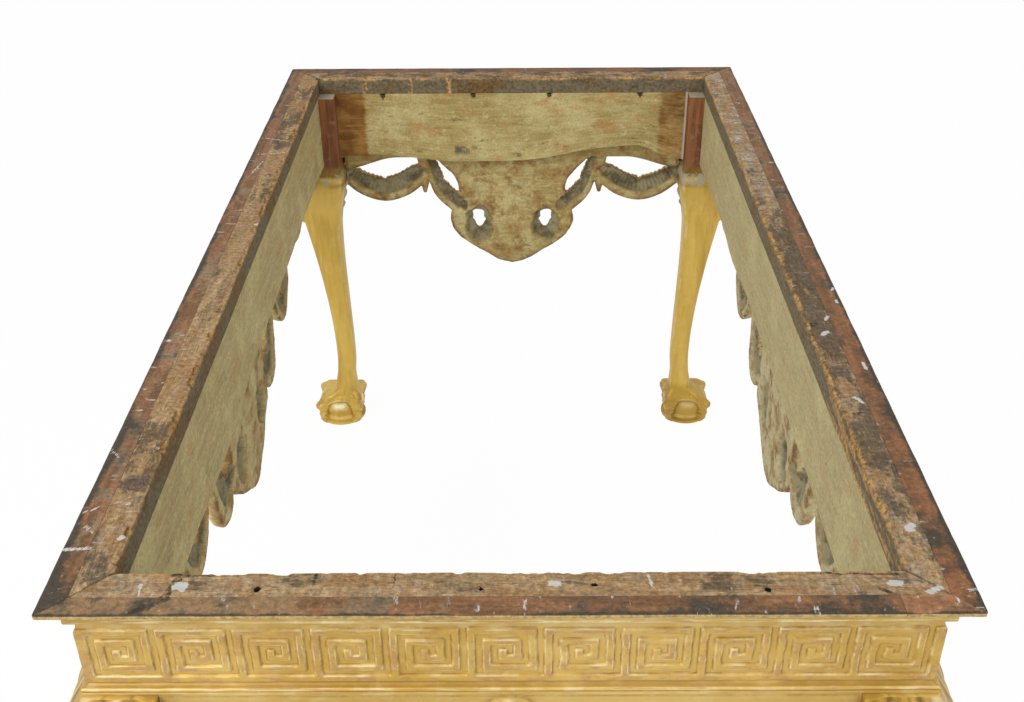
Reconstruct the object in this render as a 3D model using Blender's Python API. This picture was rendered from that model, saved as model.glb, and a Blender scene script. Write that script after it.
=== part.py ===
# Giltwood centre table base, without its top slab.
# Metres, +Z up, origin on the floor under the middle of the table.
# +Y runs along the length, and the short side called front faces -Y.
# Every piece of a side is drawn in that side's own frame: x along it, y inwards from the edge, z up.

import math

import bmesh
import bpy
import numpy as np
from mathutils import Vector
from mathutils.geometry import delaunay_2d_cdt

# Overall size over the edge strips, and from the floor to the seat for the slab
TABLE_WIDTH = 0.887
TABLE_LENGTH = 1.561
TABLE_HEIGHT = 0.812
GLUE_GAP = 0.0003

# Seat: mitred top boards with an edge strip glued round them
SEAT_WIDTH = 0.0621
STRIP_WIDTH = 0.0275
STRIP_THICKNESS = 0.0065
STRIP_NOSE = 0.003
TOP_BOARD_THICKNESS = 0.032
PATCH_LENGTH = 0.076

# Rails tenoned into the corner posts
RAIL_THICKNESS = 0.0296
RAIL_HEIGHT = 0.142
RAIL_WAVE = 0.005
RAIL_WAVE_PITCH = 0.34
POST_SIZE = 0.059
TENON_THICKNESS = 0.012
TENON_SHOULDER = 0.021
TENON_WEB = 0.008

# Mouldings planted on the outside of the rails
CORNICE_INSET = 0.0192
CORNICE_FILLET = 0.0195
CORNICE_FOOT_INSET = 0.0243
FRIEZE_HEIGHT = 0.0774
FRIEZE_THICKNESS = 0.0052
FRET_HEIGHT = 0.0687
FRET_CELL = 0.0075
FRET_RELIEF = 0.002
BASE_MOULD_HEIGHT = 0.013
BASE_MOULD_INSET = 0.0193
BASE_FILLET = 0.0035
BASE_GROOVE = 0.0018

# Leg below the post: knee, shaft, ankle, and claw-and-ball foot
KNEE_TOP_INSET = 0.0155
KNEE_STEP = 0.001
KNEE_REACH = 0.0105
KNEE_DROP = 0.060
LEDGE_DROP = 0.073
LEDGE_HEIGHT = 0.018
LEDGE_STEP = 0.004
CALF_DROP = 0.210
CALF_INSET = 0.0800
ANKLE_HEIGHT = 0.178
ANKLE_SIZE = 0.0400
ANKLE_INSET = 0.0702
FOOT_HEIGHT = 0.092
FOOT_INSET = 0.045
BALL_RADIUS = 0.046
BALL_HEIGHT = 0.036
PAD_RADIUS = 0.045
TALON_REACH = 0.0715
HEEL_SIZE = 0.0474
KNEE_SQUARENESS = 7.0
SHAFT_SQUARENESS = 3.6
KNEE_FULLNESS = 0.7
SHIN_FULLNESS = 0.85

# Carved aprons, pierced round festoons and a cartouche; below the band they lean outwards
APRON_BAND = 0.058
BAND_DIP = 0.026
BAND_DIP_LENGTH = 0.110
BAND_DIP_STEPS = 6
APRON_LEAN = 0.009
APRON_LEAN_DROP = 0.070
APRON_EDGE = 0.012
APRON_BAND_DEPTH = 0.013
FESTOON_CROWN = 0.030
TASSEL_CROWN = 0.024
CARTOUCHE_CROWN = 0.038
SCROLL_RIM = 0.007
RELIEF_STEP = 0.021
FESTOON_OFFSET = 0.010
FESTOON_TUCK = 0.004
FESTOON_ROUNDNESS = 0.72
GARLAND_WIDTHS = (0.022, 0.036, 0.040)
LOBE_WIDTHS = (0.022, 0.040, 0.080, 0.050)
TASSEL_WIDTHS = (0.030, 0.020, 0.024, 0.008)
TASSEL_LENGTH = 0.088
TASSEL_OVERLAP = 0.008
EYE_RADIUS = 0.0145
EYE_STRETCH = 1.45
EYE_SIDES = 8

# Carving of half a short apron: distance from its middle, and drop below its top
SHORT_SHIELD = ((0.168, 0.050), (0.140, 0.080), (0.119, 0.108), (0.113, 0.138), (0.124, 0.170), (0.131, 0.196),
                (0.126, 0.224), (0.104, 0.252), (0.066, 0.278), (0.026, 0.300), (0.0, 0.3095))
SHORT_EYE = (0.0715, 0.207)
SHORT_GARLAND = ((0.176, 0.052), (0.150, 0.132), (0.112, 0.172))
SHORT_TASSEL = 0.184
SHORT_HANG = 0.098
SHORT_SAG = 0.036
SHORT_FESTOON_WIDTHS = (0.046, 0.052, 0.054, 0.050, 0.042)

# Carving of half a long apron, measured in the same way
LONG_SHIELD = ((0.212, 0.050), (0.172, 0.084), (0.146, 0.125), (0.137, 0.165), (0.143, 0.205), (0.139, 0.238),
               (0.115, 0.259), (0.088, 0.279), (0.046, 0.304), (0.015, 0.319), (0.0, 0.3225))
LONG_EYE = (0.080, 0.209)
LONG_LOBE = ((0.250, 0.052), (0.228, 0.130), (0.194, 0.208), (0.150, 0.205))
LONG_INNER_TASSEL = 0.259
LONG_INNER_HANG = 0.090
LONG_INNER_SAG = 0.092
LONG_OUTER_TASSEL = 0.434
LONG_OUTER_HANG = 0.084
LONG_OUTER_SAG = 0.036
LONG_FESTOON_WIDTHS = (0.022, 0.046, 0.054, 0.046, 0.024)

# Screws driven up through the short rails into the top boards
SCREW_PLACES = (-0.257, -0.076, 0.076, 0.257)
SCREW_RADIUS = 0.0025
SCREW_LENGTH = 0.034
SCREW_HEAD_RADIUS = 0.0045
SCREW_HEAD_HEIGHT = 0.003
SCREW_INSET = 0.0045
SCREW_DROP = 0.005
SCREW_TILT = math.radians(45)
POCKET_RADIUS = 0.006
POCKET_DEPTH = 0.020
SCREW_SIDES = 6

# One unit of the key fret, top row first: # stands proud, . is the ground
FRET_UNIT = (
    "#########.",
    "#.......#.",
    "#.#####.#.",
    "#.#...#.#.",
    "#.#.#.#.#.",
    "#.#.###.#.",
    "#.#.....#.",
    "#.#######.",
    "#.........",
    "##########",
)

# Heights and insets that follow from the sizes above
STRIP_BOTTOM = TABLE_HEIGHT - STRIP_THICKNESS
BOARD_BOTTOM = TABLE_HEIGHT - TOP_BOARD_THICKNESS
RAIL_TOP = BOARD_BOTTOM - GLUE_GAP
RAIL_BOTTOM = RAIL_TOP - RAIL_HEIGHT
RAIL_FACE = SEAT_WIDTH - RAIL_THICKNESS
POST_INNER = RAIL_FACE + POST_SIZE
TENON_OUTER = SEAT_WIDTH - (RAIL_THICKNESS + TENON_THICKNESS) / 2
TENON_INNER = TENON_OUTER + TENON_THICKNESS
TENON_END = TENON_INNER + TENON_WEB
TENON_BOTTOM = RAIL_BOTTOM + TENON_SHOULDER
TENON_TOP = RAIL_TOP - TENON_SHOULDER
PLANTED_BACK = RAIL_FACE - GLUE_GAP
FRIEZE_TOP = BOARD_BOTTOM - GLUE_GAP
FRIEZE_BOTTOM = FRIEZE_TOP - FRIEZE_HEIGHT
FRIEZE_GROUND = PLANTED_BACK - FRIEZE_THICKNESS
BASE_TOP = FRIEZE_BOTTOM - GLUE_GAP
BASE_BOTTOM = BASE_TOP - BASE_MOULD_HEIGHT
APRON_TOP = BASE_BOTTOM - GLUE_GAP
LEDGE_INSET = POST_INNER + LEDGE_STEP
APRON_END = LEDGE_INSET + GLUE_GAP
MITRE_CUT = GLUE_GAP / math.sqrt(2)

SIDES = ("front", "right", "back", "left")
CORNERS = ("front_left", "front_right", "back_right", "back_left")
HALF_WIDTH = TABLE_WIDTH / 2
HALF_LENGTH = TABLE_LENGTH / 2

# Sections of the leg: four quarters, each with a face, flanks and a corner
QUARTER_STEPS = (0, 29, 35, 45, 55, 61)
TALON_SHARES = (0.0, 0.05, 0.80, 1.0, 0.80, 0.05)
SHAFT_RINGS = 5
# Share of the foot's height, and of the talon's reach there: a knuckle, then the claw down to the pad
TALON_PROFILE = ((0.80, 0.72), (0.68, 0.86), (0.54, 1.0), (0.40, 0.95),
                 (0.22, 0.94), (0.08, 0.97), (0.0, 0.90))


def eased(start, end, share):
    share = min(max(share, 0.0), 1.0)
    return start + (end - start) * share * share * (3 - 2 * share)


def new_material(name, colour, roughness, metallic):
    material = bpy.data.materials.new(name)
    material.use_nodes = True
    shader = material.node_tree.nodes["Principled BSDF"]
    shader.inputs["Base Color"].default_value = (*colour, 1.0)
    shader.inputs["Roughness"].default_value = roughness
    shader.inputs["Metallic"].default_value = metallic
    return material


def closed_mesh(name, points, faces, smooth_angle=0):
    mesh = bpy.data.meshes.new(name)
    mesh.from_pydata(points, [], faces)
    shape = bmesh.new()
    shape.from_mesh(mesh)
    bmesh.ops.recalc_face_normals(shape, faces=shape.faces)
    shape.to_mesh(mesh)
    shape.free()
    if smooth_angle:
        mesh.shade_smooth()
        mesh.set_sharp_from_angle(angle=math.radians(smooth_angle))
    return mesh


def place(name, mesh, parent, material):
    piece = bpy.data.objects.new(name, mesh)
    piece.parent = parent
    if material.name not in mesh.materials:
        mesh.materials.append(material)
    bpy.context.scene.collection.objects.link(piece)
    return piece


def cut_away(piece, name, mesh):
    cutter = bpy.data.objects.new(name, mesh)
    cutter.parent = piece.parent
    cutter.hide_render = True
    cutter.display_type = "WIRE"
    bpy.context.scene.collection.objects.link(cutter)
    modifier = piece.modifiers.new("cut", "BOOLEAN")
    modifier.operation = "DIFFERENCE"
    modifier.solver = "EXACT"
    modifier.object = cutter


# A straight moulding of one section, mitred at both ends unless it starts or stops at a butt
def mitred_bar(name, half_side, section, start=None, stop=None):
    count = len(section)
    left = [start if start is not None else y + MITRE_CUT - half_side for y, z in section]
    right = [stop if stop is not None else half_side - y - MITRE_CUT for y, z in section]
    points = [(x, y, z) for x, (y, z) in zip(left, section)]
    points += [(x, y, z) for x, (y, z) in zip(right, section)]
    faces = [(i, (i + 1) % count, count + (i + 1) % count, count + i) for i in range(count)]
    faces += [list(range(count)), list(range(count, 2 * count))]
    return closed_mesh(name, points, faces, 40)


# Points on an elliptical arc in a section, angles in degrees
def arc(centre, radius_y, radius_z, first, last, steps):
    angles = np.radians(np.linspace(first, last, steps + 1))
    return [(centre[0] + radius_y * math.cos(a), centre[1] + radius_z * math.sin(a)) for a in angles]


def top_board_section():
    inner, outer = SEAT_WIDTH, STRIP_WIDTH
    return [(outer, TABLE_HEIGHT), (inner, TABLE_HEIGHT), (inner, BOARD_BOTTOM), (outer, BOARD_BOTTOM)]


# Flat strip with a rounded nose
def strip_section():
    back = STRIP_WIDTH - GLUE_GAP
    nose_top = arc((STRIP_NOSE, TABLE_HEIGHT - STRIP_NOSE), STRIP_NOSE, STRIP_NOSE, 180, 90, 3)
    nose_bottom = arc((STRIP_NOSE, STRIP_BOTTOM + STRIP_NOSE), STRIP_NOSE, STRIP_NOSE, 270, 180, 3)
    return [(back, TABLE_HEIGHT), (back, STRIP_BOTTOM)] + nose_bottom + nose_top


# Tall fillet above a small ogee that runs in to the frieze
def cornice_section():
    top = STRIP_BOTTOM - GLUE_GAP
    back = STRIP_WIDTH - GLUE_GAP
    turn = top - CORNICE_FILLET
    shares = np.linspace(0, 1, 7)
    ogee = [(eased(CORNICE_INSET, CORNICE_FOOT_INSET, s), turn + (BOARD_BOTTOM - turn) * s) for s in shares]
    return [(back, top), (CORNICE_INSET, top)] + ogee + [(back, BOARD_BOTTOM)]


# Cavetto, bead, groove and fillet
def base_section():
    fillet_top = BASE_BOTTOM + BASE_FILLET
    bead_radius = (BASE_TOP - fillet_top) / 4
    bead_centre = (BASE_MOULD_INSET + bead_radius, fillet_top + bead_radius)
    bead_top = bead_centre[1] + bead_radius
    hollow = FRIEZE_GROUND - bead_centre[0]
    cavetto = arc((bead_centre[0], BASE_TOP), hollow, BASE_TOP - bead_top, 0, -90, 3)
    bead = arc(bead_centre, bead_radius, bead_radius, 120, 240, 4)
    groove_inset = BASE_MOULD_INSET + BASE_GROOVE
    groove = [(groove_inset, fillet_top), (BASE_MOULD_INSET, fillet_top - BASE_GROOVE / 2)]
    foot = [(BASE_MOULD_INSET, BASE_BOTTOM), (PLANTED_BACK, BASE_BOTTOM)]
    return [(PLANTED_BACK, BASE_TOP)] + cavetto + bead + groove + foot


# Stretches of a grid line where the pattern changes from proud to ground
def pattern_edges(proud):
    columns, rows = proud.shape
    edges = []
    for row in range(1, rows + 1):
        above = proud[:, row] if row < rows else np.zeros(columns, bool)
        change = np.concatenate(([False], proud[:, row - 1] != above, [False]))
        ends = np.flatnonzero(change[1:] != change[:-1])
        edges += [((a, row), (b, row)) for a, b in zip(ends[::2], ends[1::2])]
    for column in range(1, columns):
        change = np.concatenate(([False], proud[column - 1] != proud[column], [False]))
        ends = np.flatnonzero(change[1:] != change[:-1])
        edges += [((column, a), (column, b)) for a, b in zip(ends[::2], ends[1::2])]
    return edges


# Facing board whose front carries the key fret, as many units as fit the side, with a bar at each corner
def fret_mesh(name, half_side):
    rows = len(FRET_UNIT)
    unit_columns = len(FRET_UNIT[0])
    ground_half = half_side - FRIEZE_GROUND - MITRE_CUT
    units = round((2 * ground_half / FRET_CELL - 1) / unit_columns)
    unit = np.array([[mark == "#" for mark in line] for line in reversed(FRET_UNIT)]).T
    proud = np.concatenate([np.tile(unit, (units, 1)), np.ones((1, rows), bool)])
    columns = len(proud)
    cell = 2 * ground_half / columns
    row_height = FRET_HEIGHT / rows
    top_row = FRIEZE_HEIGHT / row_height

    outline = [((0, 0), (columns, 0)), ((columns, 0), (columns, rows)),
               ((columns, rows), (columns, top_row)), ((columns, top_row), (0, top_row)),
               ((0, top_row), (0, rows)), ((0, rows), (0, 0))]
    edges = outline + pattern_edges(proud)
    corners = sorted({(float(a), float(b)) for edge in edges for a, b in edge})
    order = {corner: i for i, corner in enumerate(corners)}
    links = [(order[(float(a[0]), float(a[1]))], order[(float(b[0]), float(b[1]))]) for a, b in edges]
    flat = delaunay_2d_cdt([Vector(c) for c in corners], links, [], 0, 1e-6)
    plan = [tuple(v) for v in flat[0]]

    points = []
    known = {}

    # Level 0 is the ground, 1 the ridge, 2 the back; the ends follow the mitre
    def point(index, level):
        if (index, level) not in known:
            column, row = plan[index]
            inset = (FRIEZE_GROUND, FRIEZE_GROUND - FRET_RELIEF, PLANTED_BACK)[level]
            x = column * cell - ground_half
            if column < 0.5 or column > columns - 0.5:
                x = math.copysign(half_side - inset - MITRE_CUT, x)
            known[(index, level)] = len(points)
            points.append((x, inset, FRIEZE_BOTTOM + row * row_height))
        return known[(index, level)]

    faces = []
    sides_of_edge = {}
    for triangle in flat[2]:
        column = sum(plan[i][0] for i in triangle) / 3
        row = sum(plan[i][1] for i in triangle) / 3
        level = int(row < rows and proud[int(column), int(row)])
        faces.append([point(i, level) for i in triangle])
        for a, b in zip(triangle, triangle[1:] + triangle[:1]):
            sides_of_edge.setdefault(frozenset((a, b)), []).append(level)
    for edge, levels in sides_of_edge.items():
        if sorted(levels) == [0, 1]:
            a, b = edge
            faces.append([point(a, 0), point(b, 0), point(b, 1), point(a, 1)])

    lookup = {(round(c), round(r * 1000)): i for i, (c, r) in enumerate(plan)}
    low = [lookup[(c, 0)] for c in (0, columns)]
    step = [lookup[(c, rows * 1000)] for c in (0, columns)]
    high = [lookup[(c, round(top_row * 1000))] for c in (0, columns)]
    for end in (0, 1):
        faces.append([point(low[end], 2), point(low[end], 1), point(step[end], 1), point(step[end], 0),
                      point(high[end], 0), point(high[end], 2)])
    faces.append([point(low[0], 1), point(low[1], 1), point(low[1], 2), point(low[0], 2)])
    faces.append([point(high[0], 0), point(high[1], 0), point(high[1], 2), point(high[0], 2)])
    faces.append([point(low[0], 2), point(low[1], 2), point(high[1], 2), point(high[0], 2)])
    return closed_mesh(name, points, faces)


# Rail with a hand-sawn lower edge and a tenon at each end
def rail_mesh(name, half_side):
    half = half_side - POST_INNER - GLUE_GAP
    waves = max(1, round(2 * half / RAIL_WAVE_PITCH))
    steps = 4 * waves
    lower = []
    for i in range(steps + 1):
        share = i / steps
        lift = RAIL_WAVE * (1 - math.cos(2 * math.pi * waves * share)) / 2
        lower.append((half * (2 * share - 1), RAIL_BOTTOM + lift))
    front = [(-half, RAIL_TOP)] + lower + [(half, RAIL_TOP)]
    count = len(front)
    points = [(x, RAIL_FACE, z) for x, z in front] + [(x, SEAT_WIDTH, z) for x, z in front]
    faces = [list(range(count)), list(range(count, 2 * count))]
    for i in range(1, count - 2):
        faces.append([i, i + 1, count + i + 1, count + i])
    faces.append([count - 1, 0, count, 2 * count - 1])
    reach = half_side - TENON_END
    for sign, top, bottom in ((-1, 0, 1), (1, count - 1, count - 2)):
        shoulder = [top, bottom, count + bottom, count + top]
        root = len(points)
        corners = [(TENON_OUTER, TENON_TOP), (TENON_OUTER, TENON_BOTTOM),
                   (TENON_INNER, TENON_BOTTOM), (TENON_INNER, TENON_TOP)]
        points += [(sign * half, y, z) for y, z in corners]
        points += [(sign * reach, y, z) for y, z in corners]
        for i in range(4):
            j = (i + 1) % 4
            faces.append([shoulder[i], shoulder[j], root + j, root + i])
            faces.append([root + i, root + j, root + 4 + j, root + 4 + i])
        faces.append([root + 4, root + 5, root + 6, root + 7])
    return closed_mesh(name, points, faces)


def box(low, high):
    plan = ((low[0], low[1]), (high[0], low[1]), (high[0], high[1]), (low[0], high[1]))
    points = [(x, y, z) for z in (low[2], high[2]) for x, y in plan]
    faces = [(0, 1, 2, 3), (4, 5, 6, 7)] + [(i, (i + 1) % 4, 4 + (i + 1) % 4, 4 + i) for i in range(4)]
    return points, faces


def joined(name, solids):
    points = []
    faces = []
    for solid_points, solid_faces in solids:
        start = len(points)
        points += solid_points
        faces += [[start + i for i in face] for face in solid_faces]
    return closed_mesh(name, points, faces)


# The two mortises of a post, one for each rail, a glue gap larger than the tenons
def mortise_mesh():
    mouth = POST_INNER + POST_SIZE / 2
    end = TENON_END - GLUE_GAP
    cheek_low = TENON_OUTER - GLUE_GAP
    cheek_high = TENON_INNER + GLUE_GAP
    bottom = TENON_BOTTOM - GLUE_GAP
    top = TENON_TOP + GLUE_GAP
    along_x = box((end, cheek_low, bottom), (mouth, cheek_high, top))
    along_y = box((cheek_low, end, bottom), (cheek_high, mouth, top))
    return joined("mortises", [along_x, along_y])


# Stepped round solid along the screw's axis: (distance, radius) pairs from the head's side up
def screw_solid(x, steps):
    axis = Vector((0, -math.sin(SCREW_TILT), math.cos(SCREW_TILT)))
    across = Vector((1, 0, 0))
    over = axis.cross(across)
    seat = Vector((x, SEAT_WIDTH - SCREW_INSET, RAIL_TOP - SCREW_DROP))
    points = []
    for distance, radius in steps:
        for i in range(SCREW_SIDES):
            turn = 2 * math.pi * i / SCREW_SIDES
            offset = across * math.cos(turn) + over * math.sin(turn)
            points.append(tuple(seat + axis * distance + offset * radius))
    faces = [list(range(SCREW_SIDES)), list(range(len(points) - SCREW_SIDES, len(points)))]
    for ring in range(len(steps) - 1):
        for i in range(SCREW_SIDES):
            a = ring * SCREW_SIDES + i
            b = ring * SCREW_SIDES + (i + 1) % SCREW_SIDES
            faces.append([a, b, b + SCREW_SIDES, a + SCREW_SIDES])
    return points, faces


def screw_mesh(name, x):
    head = -GLUE_GAP
    steps = [(head - SCREW_HEAD_HEIGHT, SCREW_HEAD_RADIUS), (head, SCREW_HEAD_RADIUS), (head, SCREW_RADIUS),
             (SCREW_LENGTH - 2 * SCREW_RADIUS, SCREW_RADIUS), (SCREW_LENGTH, SCREW_RADIUS / 4)]
    return joined(name, [screw_solid(x, steps)])


def screw_cutter(name):
    hole = SCREW_RADIUS + GLUE_GAP
    steps = [(-POCKET_DEPTH, POCKET_RADIUS), (0, POCKET_RADIUS), (0, hole), (SCREW_LENGTH + GLUE_GAP, hole)]
    return joined(name, [screw_solid(x, steps) for x in SCREW_PLACES])


# Rounded square section of the leg between an outer and an inner inset
def leg_section(height, outer, inner, squareness):
    centre = (outer + inner) / 2
    half = (inner - outer) / 2
    ring = []
    for quarter in range(4):
        for step in QUARTER_STEPS:
            angle = math.radians(90 * quarter + step)
            c, s = abs(math.cos(angle)), abs(math.sin(angle))
            spread = (c ** squareness + s ** squareness) ** (1 / squareness) if squareness else max(c, s)
            radius = half / spread
            ring.append((centre + radius * math.cos(angle), centre + radius * math.sin(angle), height))
    return ring


# Ball gripped by a talon at each corner
def foot_section(height, centre, ball, talon):
    ring = []
    for quarter in range(4):
        for step, talon_share in zip(QUARTER_STEPS, TALON_SHARES):
            angle = math.radians(90 * quarter + step)
            radius = ball + (talon - ball) * talon_share
            ring.append((centre + radius * math.cos(angle), centre + radius * math.sin(angle), height))
    return ring


# Leg lofted from the post down through knee, shaft and ankle to the foot
def leg_mesh():
    ankle_outer = ANKLE_INSET - ANKLE_SIZE / 2
    ankle_inner = ANKLE_INSET + ANKLE_SIZE / 2
    crown = APRON_TOP - KNEE_DROP
    ledge_top = APRON_TOP - LEDGE_DROP
    ledge_bottom = ledge_top - LEDGE_HEIGHT
    calf = APRON_TOP - CALF_DROP

    def outer_at(height):
        if height > crown:
            return eased(KNEE_TOP_INSET, -KNEE_REACH, ((APRON_TOP - height) / KNEE_DROP) ** KNEE_FULLNESS)
        return eased(-KNEE_REACH, ankle_outer, ((crown - height) / (crown - ANKLE_HEIGHT)) ** SHIN_FULLNESS)

    def inner_at(height):
        if height > calf:
            return eased(LEDGE_INSET, CALF_INSET, (ledge_bottom - height) / (ledge_bottom - calf))
        return eased(CALF_INSET, ankle_inner, (calf - height) / (calf - ANKLE_HEIGHT))

    rings = [leg_section(height, RAIL_FACE, POST_INNER, 0) for height in (RAIL_TOP, APRON_TOP)]
    for height in (APRON_TOP - KNEE_STEP, APRON_TOP - KNEE_DROP / 3, crown, ledge_top):
        rings.append(leg_section(height, outer_at(height), POST_INNER, KNEE_SQUARENESS))
    for height in np.linspace(ledge_bottom, ANKLE_HEIGHT, SHAFT_RINGS):
        share = (ledge_bottom - height) / (ledge_bottom - ANKLE_HEIGHT)
        squareness = eased(KNEE_SQUARENESS, SHAFT_SQUARENESS, 2 * share)
        rings.append(leg_section(height, outer_at(height), inner_at(height), squareness))
    heel = ANKLE_INSET - (ANKLE_INSET - FOOT_INSET) / 4
    heel_half = HEEL_SIZE / 2
    middle = (ANKLE_HEIGHT + FOOT_HEIGHT) / 2
    rings.append(leg_section(middle, ankle_outer, ankle_inner, SHAFT_SQUARENESS))
    rings.append(leg_section(FOOT_HEIGHT, heel - heel_half, heel + heel_half, SHAFT_SQUARENESS))
    for share, reach in TALON_PROFILE:
        height = FOOT_HEIGHT * share
        ball = math.sqrt(max(BALL_RADIUS ** 2 - (height - BALL_HEIGHT) ** 2, heel_half ** 2))
        if height < BALL_HEIGHT:
            ball = max(ball, PAD_RADIUS)
        centre = eased(FOOT_INSET, heel, (share - 0.5) / 0.5)
        rings.append(foot_section(height, centre, ball, TALON_REACH * reach))

    count = len(rings[0])
    points = [p for ring in rings for p in ring]
    faces = [list(range(count)), list(range(len(points) - count, len(points)))]
    for ring in range(len(rings) - 1):
        for i in range(count):
            a = ring * count + i
            b = ring * count + (i + 1) % count
            faces.append([a, b, b + count, a + count])
    return closed_mesh("leg", points, faces, 38)


# Smooth curve through the given points (Catmull-Rom)
def smooth_curve(points, steps):
    knots = np.array(points, float)
    padded = np.vstack([2 * knots[0] - knots[1], knots, 2 * knots[-1] - knots[-2]])
    shares = np.arange(steps)[:, None] / steps
    stretches = []
    for a, b, c, d in zip(padded, padded[1:], padded[2:], padded[3:]):
        bend = (2 * a - 5 * b + 4 * c - d) * shares ** 2 + (3 * b - a - 3 * c + d) * shares ** 3
        stretches.append(0.5 * (2 * b + (c - a) * shares + bend))
    return np.vstack(stretches + [knots[-1:]])


def inside(loop, spots):
    x, z = spots[:, 0, None], spots[:, 1, None]
    x1, z1 = loop[:, 0], loop[:, 1]
    x2, z2 = np.roll(x1, -1), np.roll(z1, -1)
    rise = np.where(z2 == z1, 1e-12, z2 - z1)
    crossing = ((z1 > z) != (z2 > z)) & (x < (x2 - x1) * (z - z1) / rise + x1)
    return crossing.sum(axis=1) % 2 == 1


# Rounded band along a curve, widest where width says: one festoon, garland or tassel
class Strand:
    def __init__(self, knots, widths, crown, steps):
        self.line = smooth_curve(knots, steps)
        shares = np.linspace(0, 1, len(self.line))
        self.half = np.interp(shares, np.linspace(0, 1, len(widths)), widths) / 2
        self.crown = crown
        along = np.gradient(self.line, axis=0)
        normal = np.column_stack([-along[:, 1], along[:, 0]]) / np.linalg.norm(along, axis=1)[:, None]
        reach = normal * self.half[:, None]
        self.loop = np.vstack([self.line + reach, (self.line - reach)[::-1]])

    def depth(self, spots):
        distance = np.linalg.norm(spots[:, None] - self.line[None], axis=2)
        nearest = distance.argmin(axis=1)
        share = np.clip(distance.min(axis=1) / self.half[nearest], 0, 1)
        depth = APRON_EDGE + (self.crown - APRON_EDGE) * np.sqrt(1 - share ** 2)
        return np.where(inside(self.loop, spots), depth, 0)


# Centre of the apron: a domed shield, with a raised rim round each pierced scroll eye
class Cartouche:
    def __init__(self, half_outline, eye, steps):
        half = smooth_curve(half_outline, steps)
        self.loop = np.vstack([half, (half * (-1, 1))[::-1][1:]])
        self.eye = eye

    def depth(self, spots):
        half_width = self.loop[:, 0].max()
        low, high = self.loop[:, 1].min(), self.loop[:, 1].max()
        rise = np.clip((spots[:, 1] - low) / (high - low), 0, 1)
        dome = (1 - (spots[:, 0] / half_width) ** 2) * np.sin(math.pi * rise)
        to_eye = np.hypot(np.abs(spots[:, 0]) - self.eye[0], spots[:, 1] - self.eye[1])
        rim = SCROLL_RIM * np.exp(-((to_eye - 2 * EYE_RADIUS) / EYE_RADIUS) ** 2)
        depth = APRON_EDGE + (CARTOUCHE_CROWN - APRON_EDGE - SCROLL_RIM) * np.clip(dome, 0, 1) + rim
        return np.where(inside(self.loop, spots), depth, 0)


# Plain board behind the carving, under the base moulding; its lower edge dips towards the legs
class Band:
    def __init__(self, half):
        shares = np.linspace(0, 1, BAND_DIP_STEPS)
        across = half - BAND_DIP_LENGTH * (1 - shares)
        low = [(x, APRON_TOP - APRON_BAND - eased(0, BAND_DIP, share)) for x, share in zip(across, shares)]
        self.loop = np.array(mirrored(low[::-1]) + low + [(half, APRON_TOP), (-half, APRON_TOP)])

    def depth(self, spots):
        return np.full(len(spots), APRON_BAND_DEPTH)


def mirrored(knots):
    return [(-x, z) for x, z in knots]


# Back of the apron: flat against the rail, then leaning outwards below the band
def apron_back(height):
    return PLANTED_BACK - eased(0, APRON_LEAN, (APRON_TOP - APRON_BAND - height) / APRON_LEAN_DROP)


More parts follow.
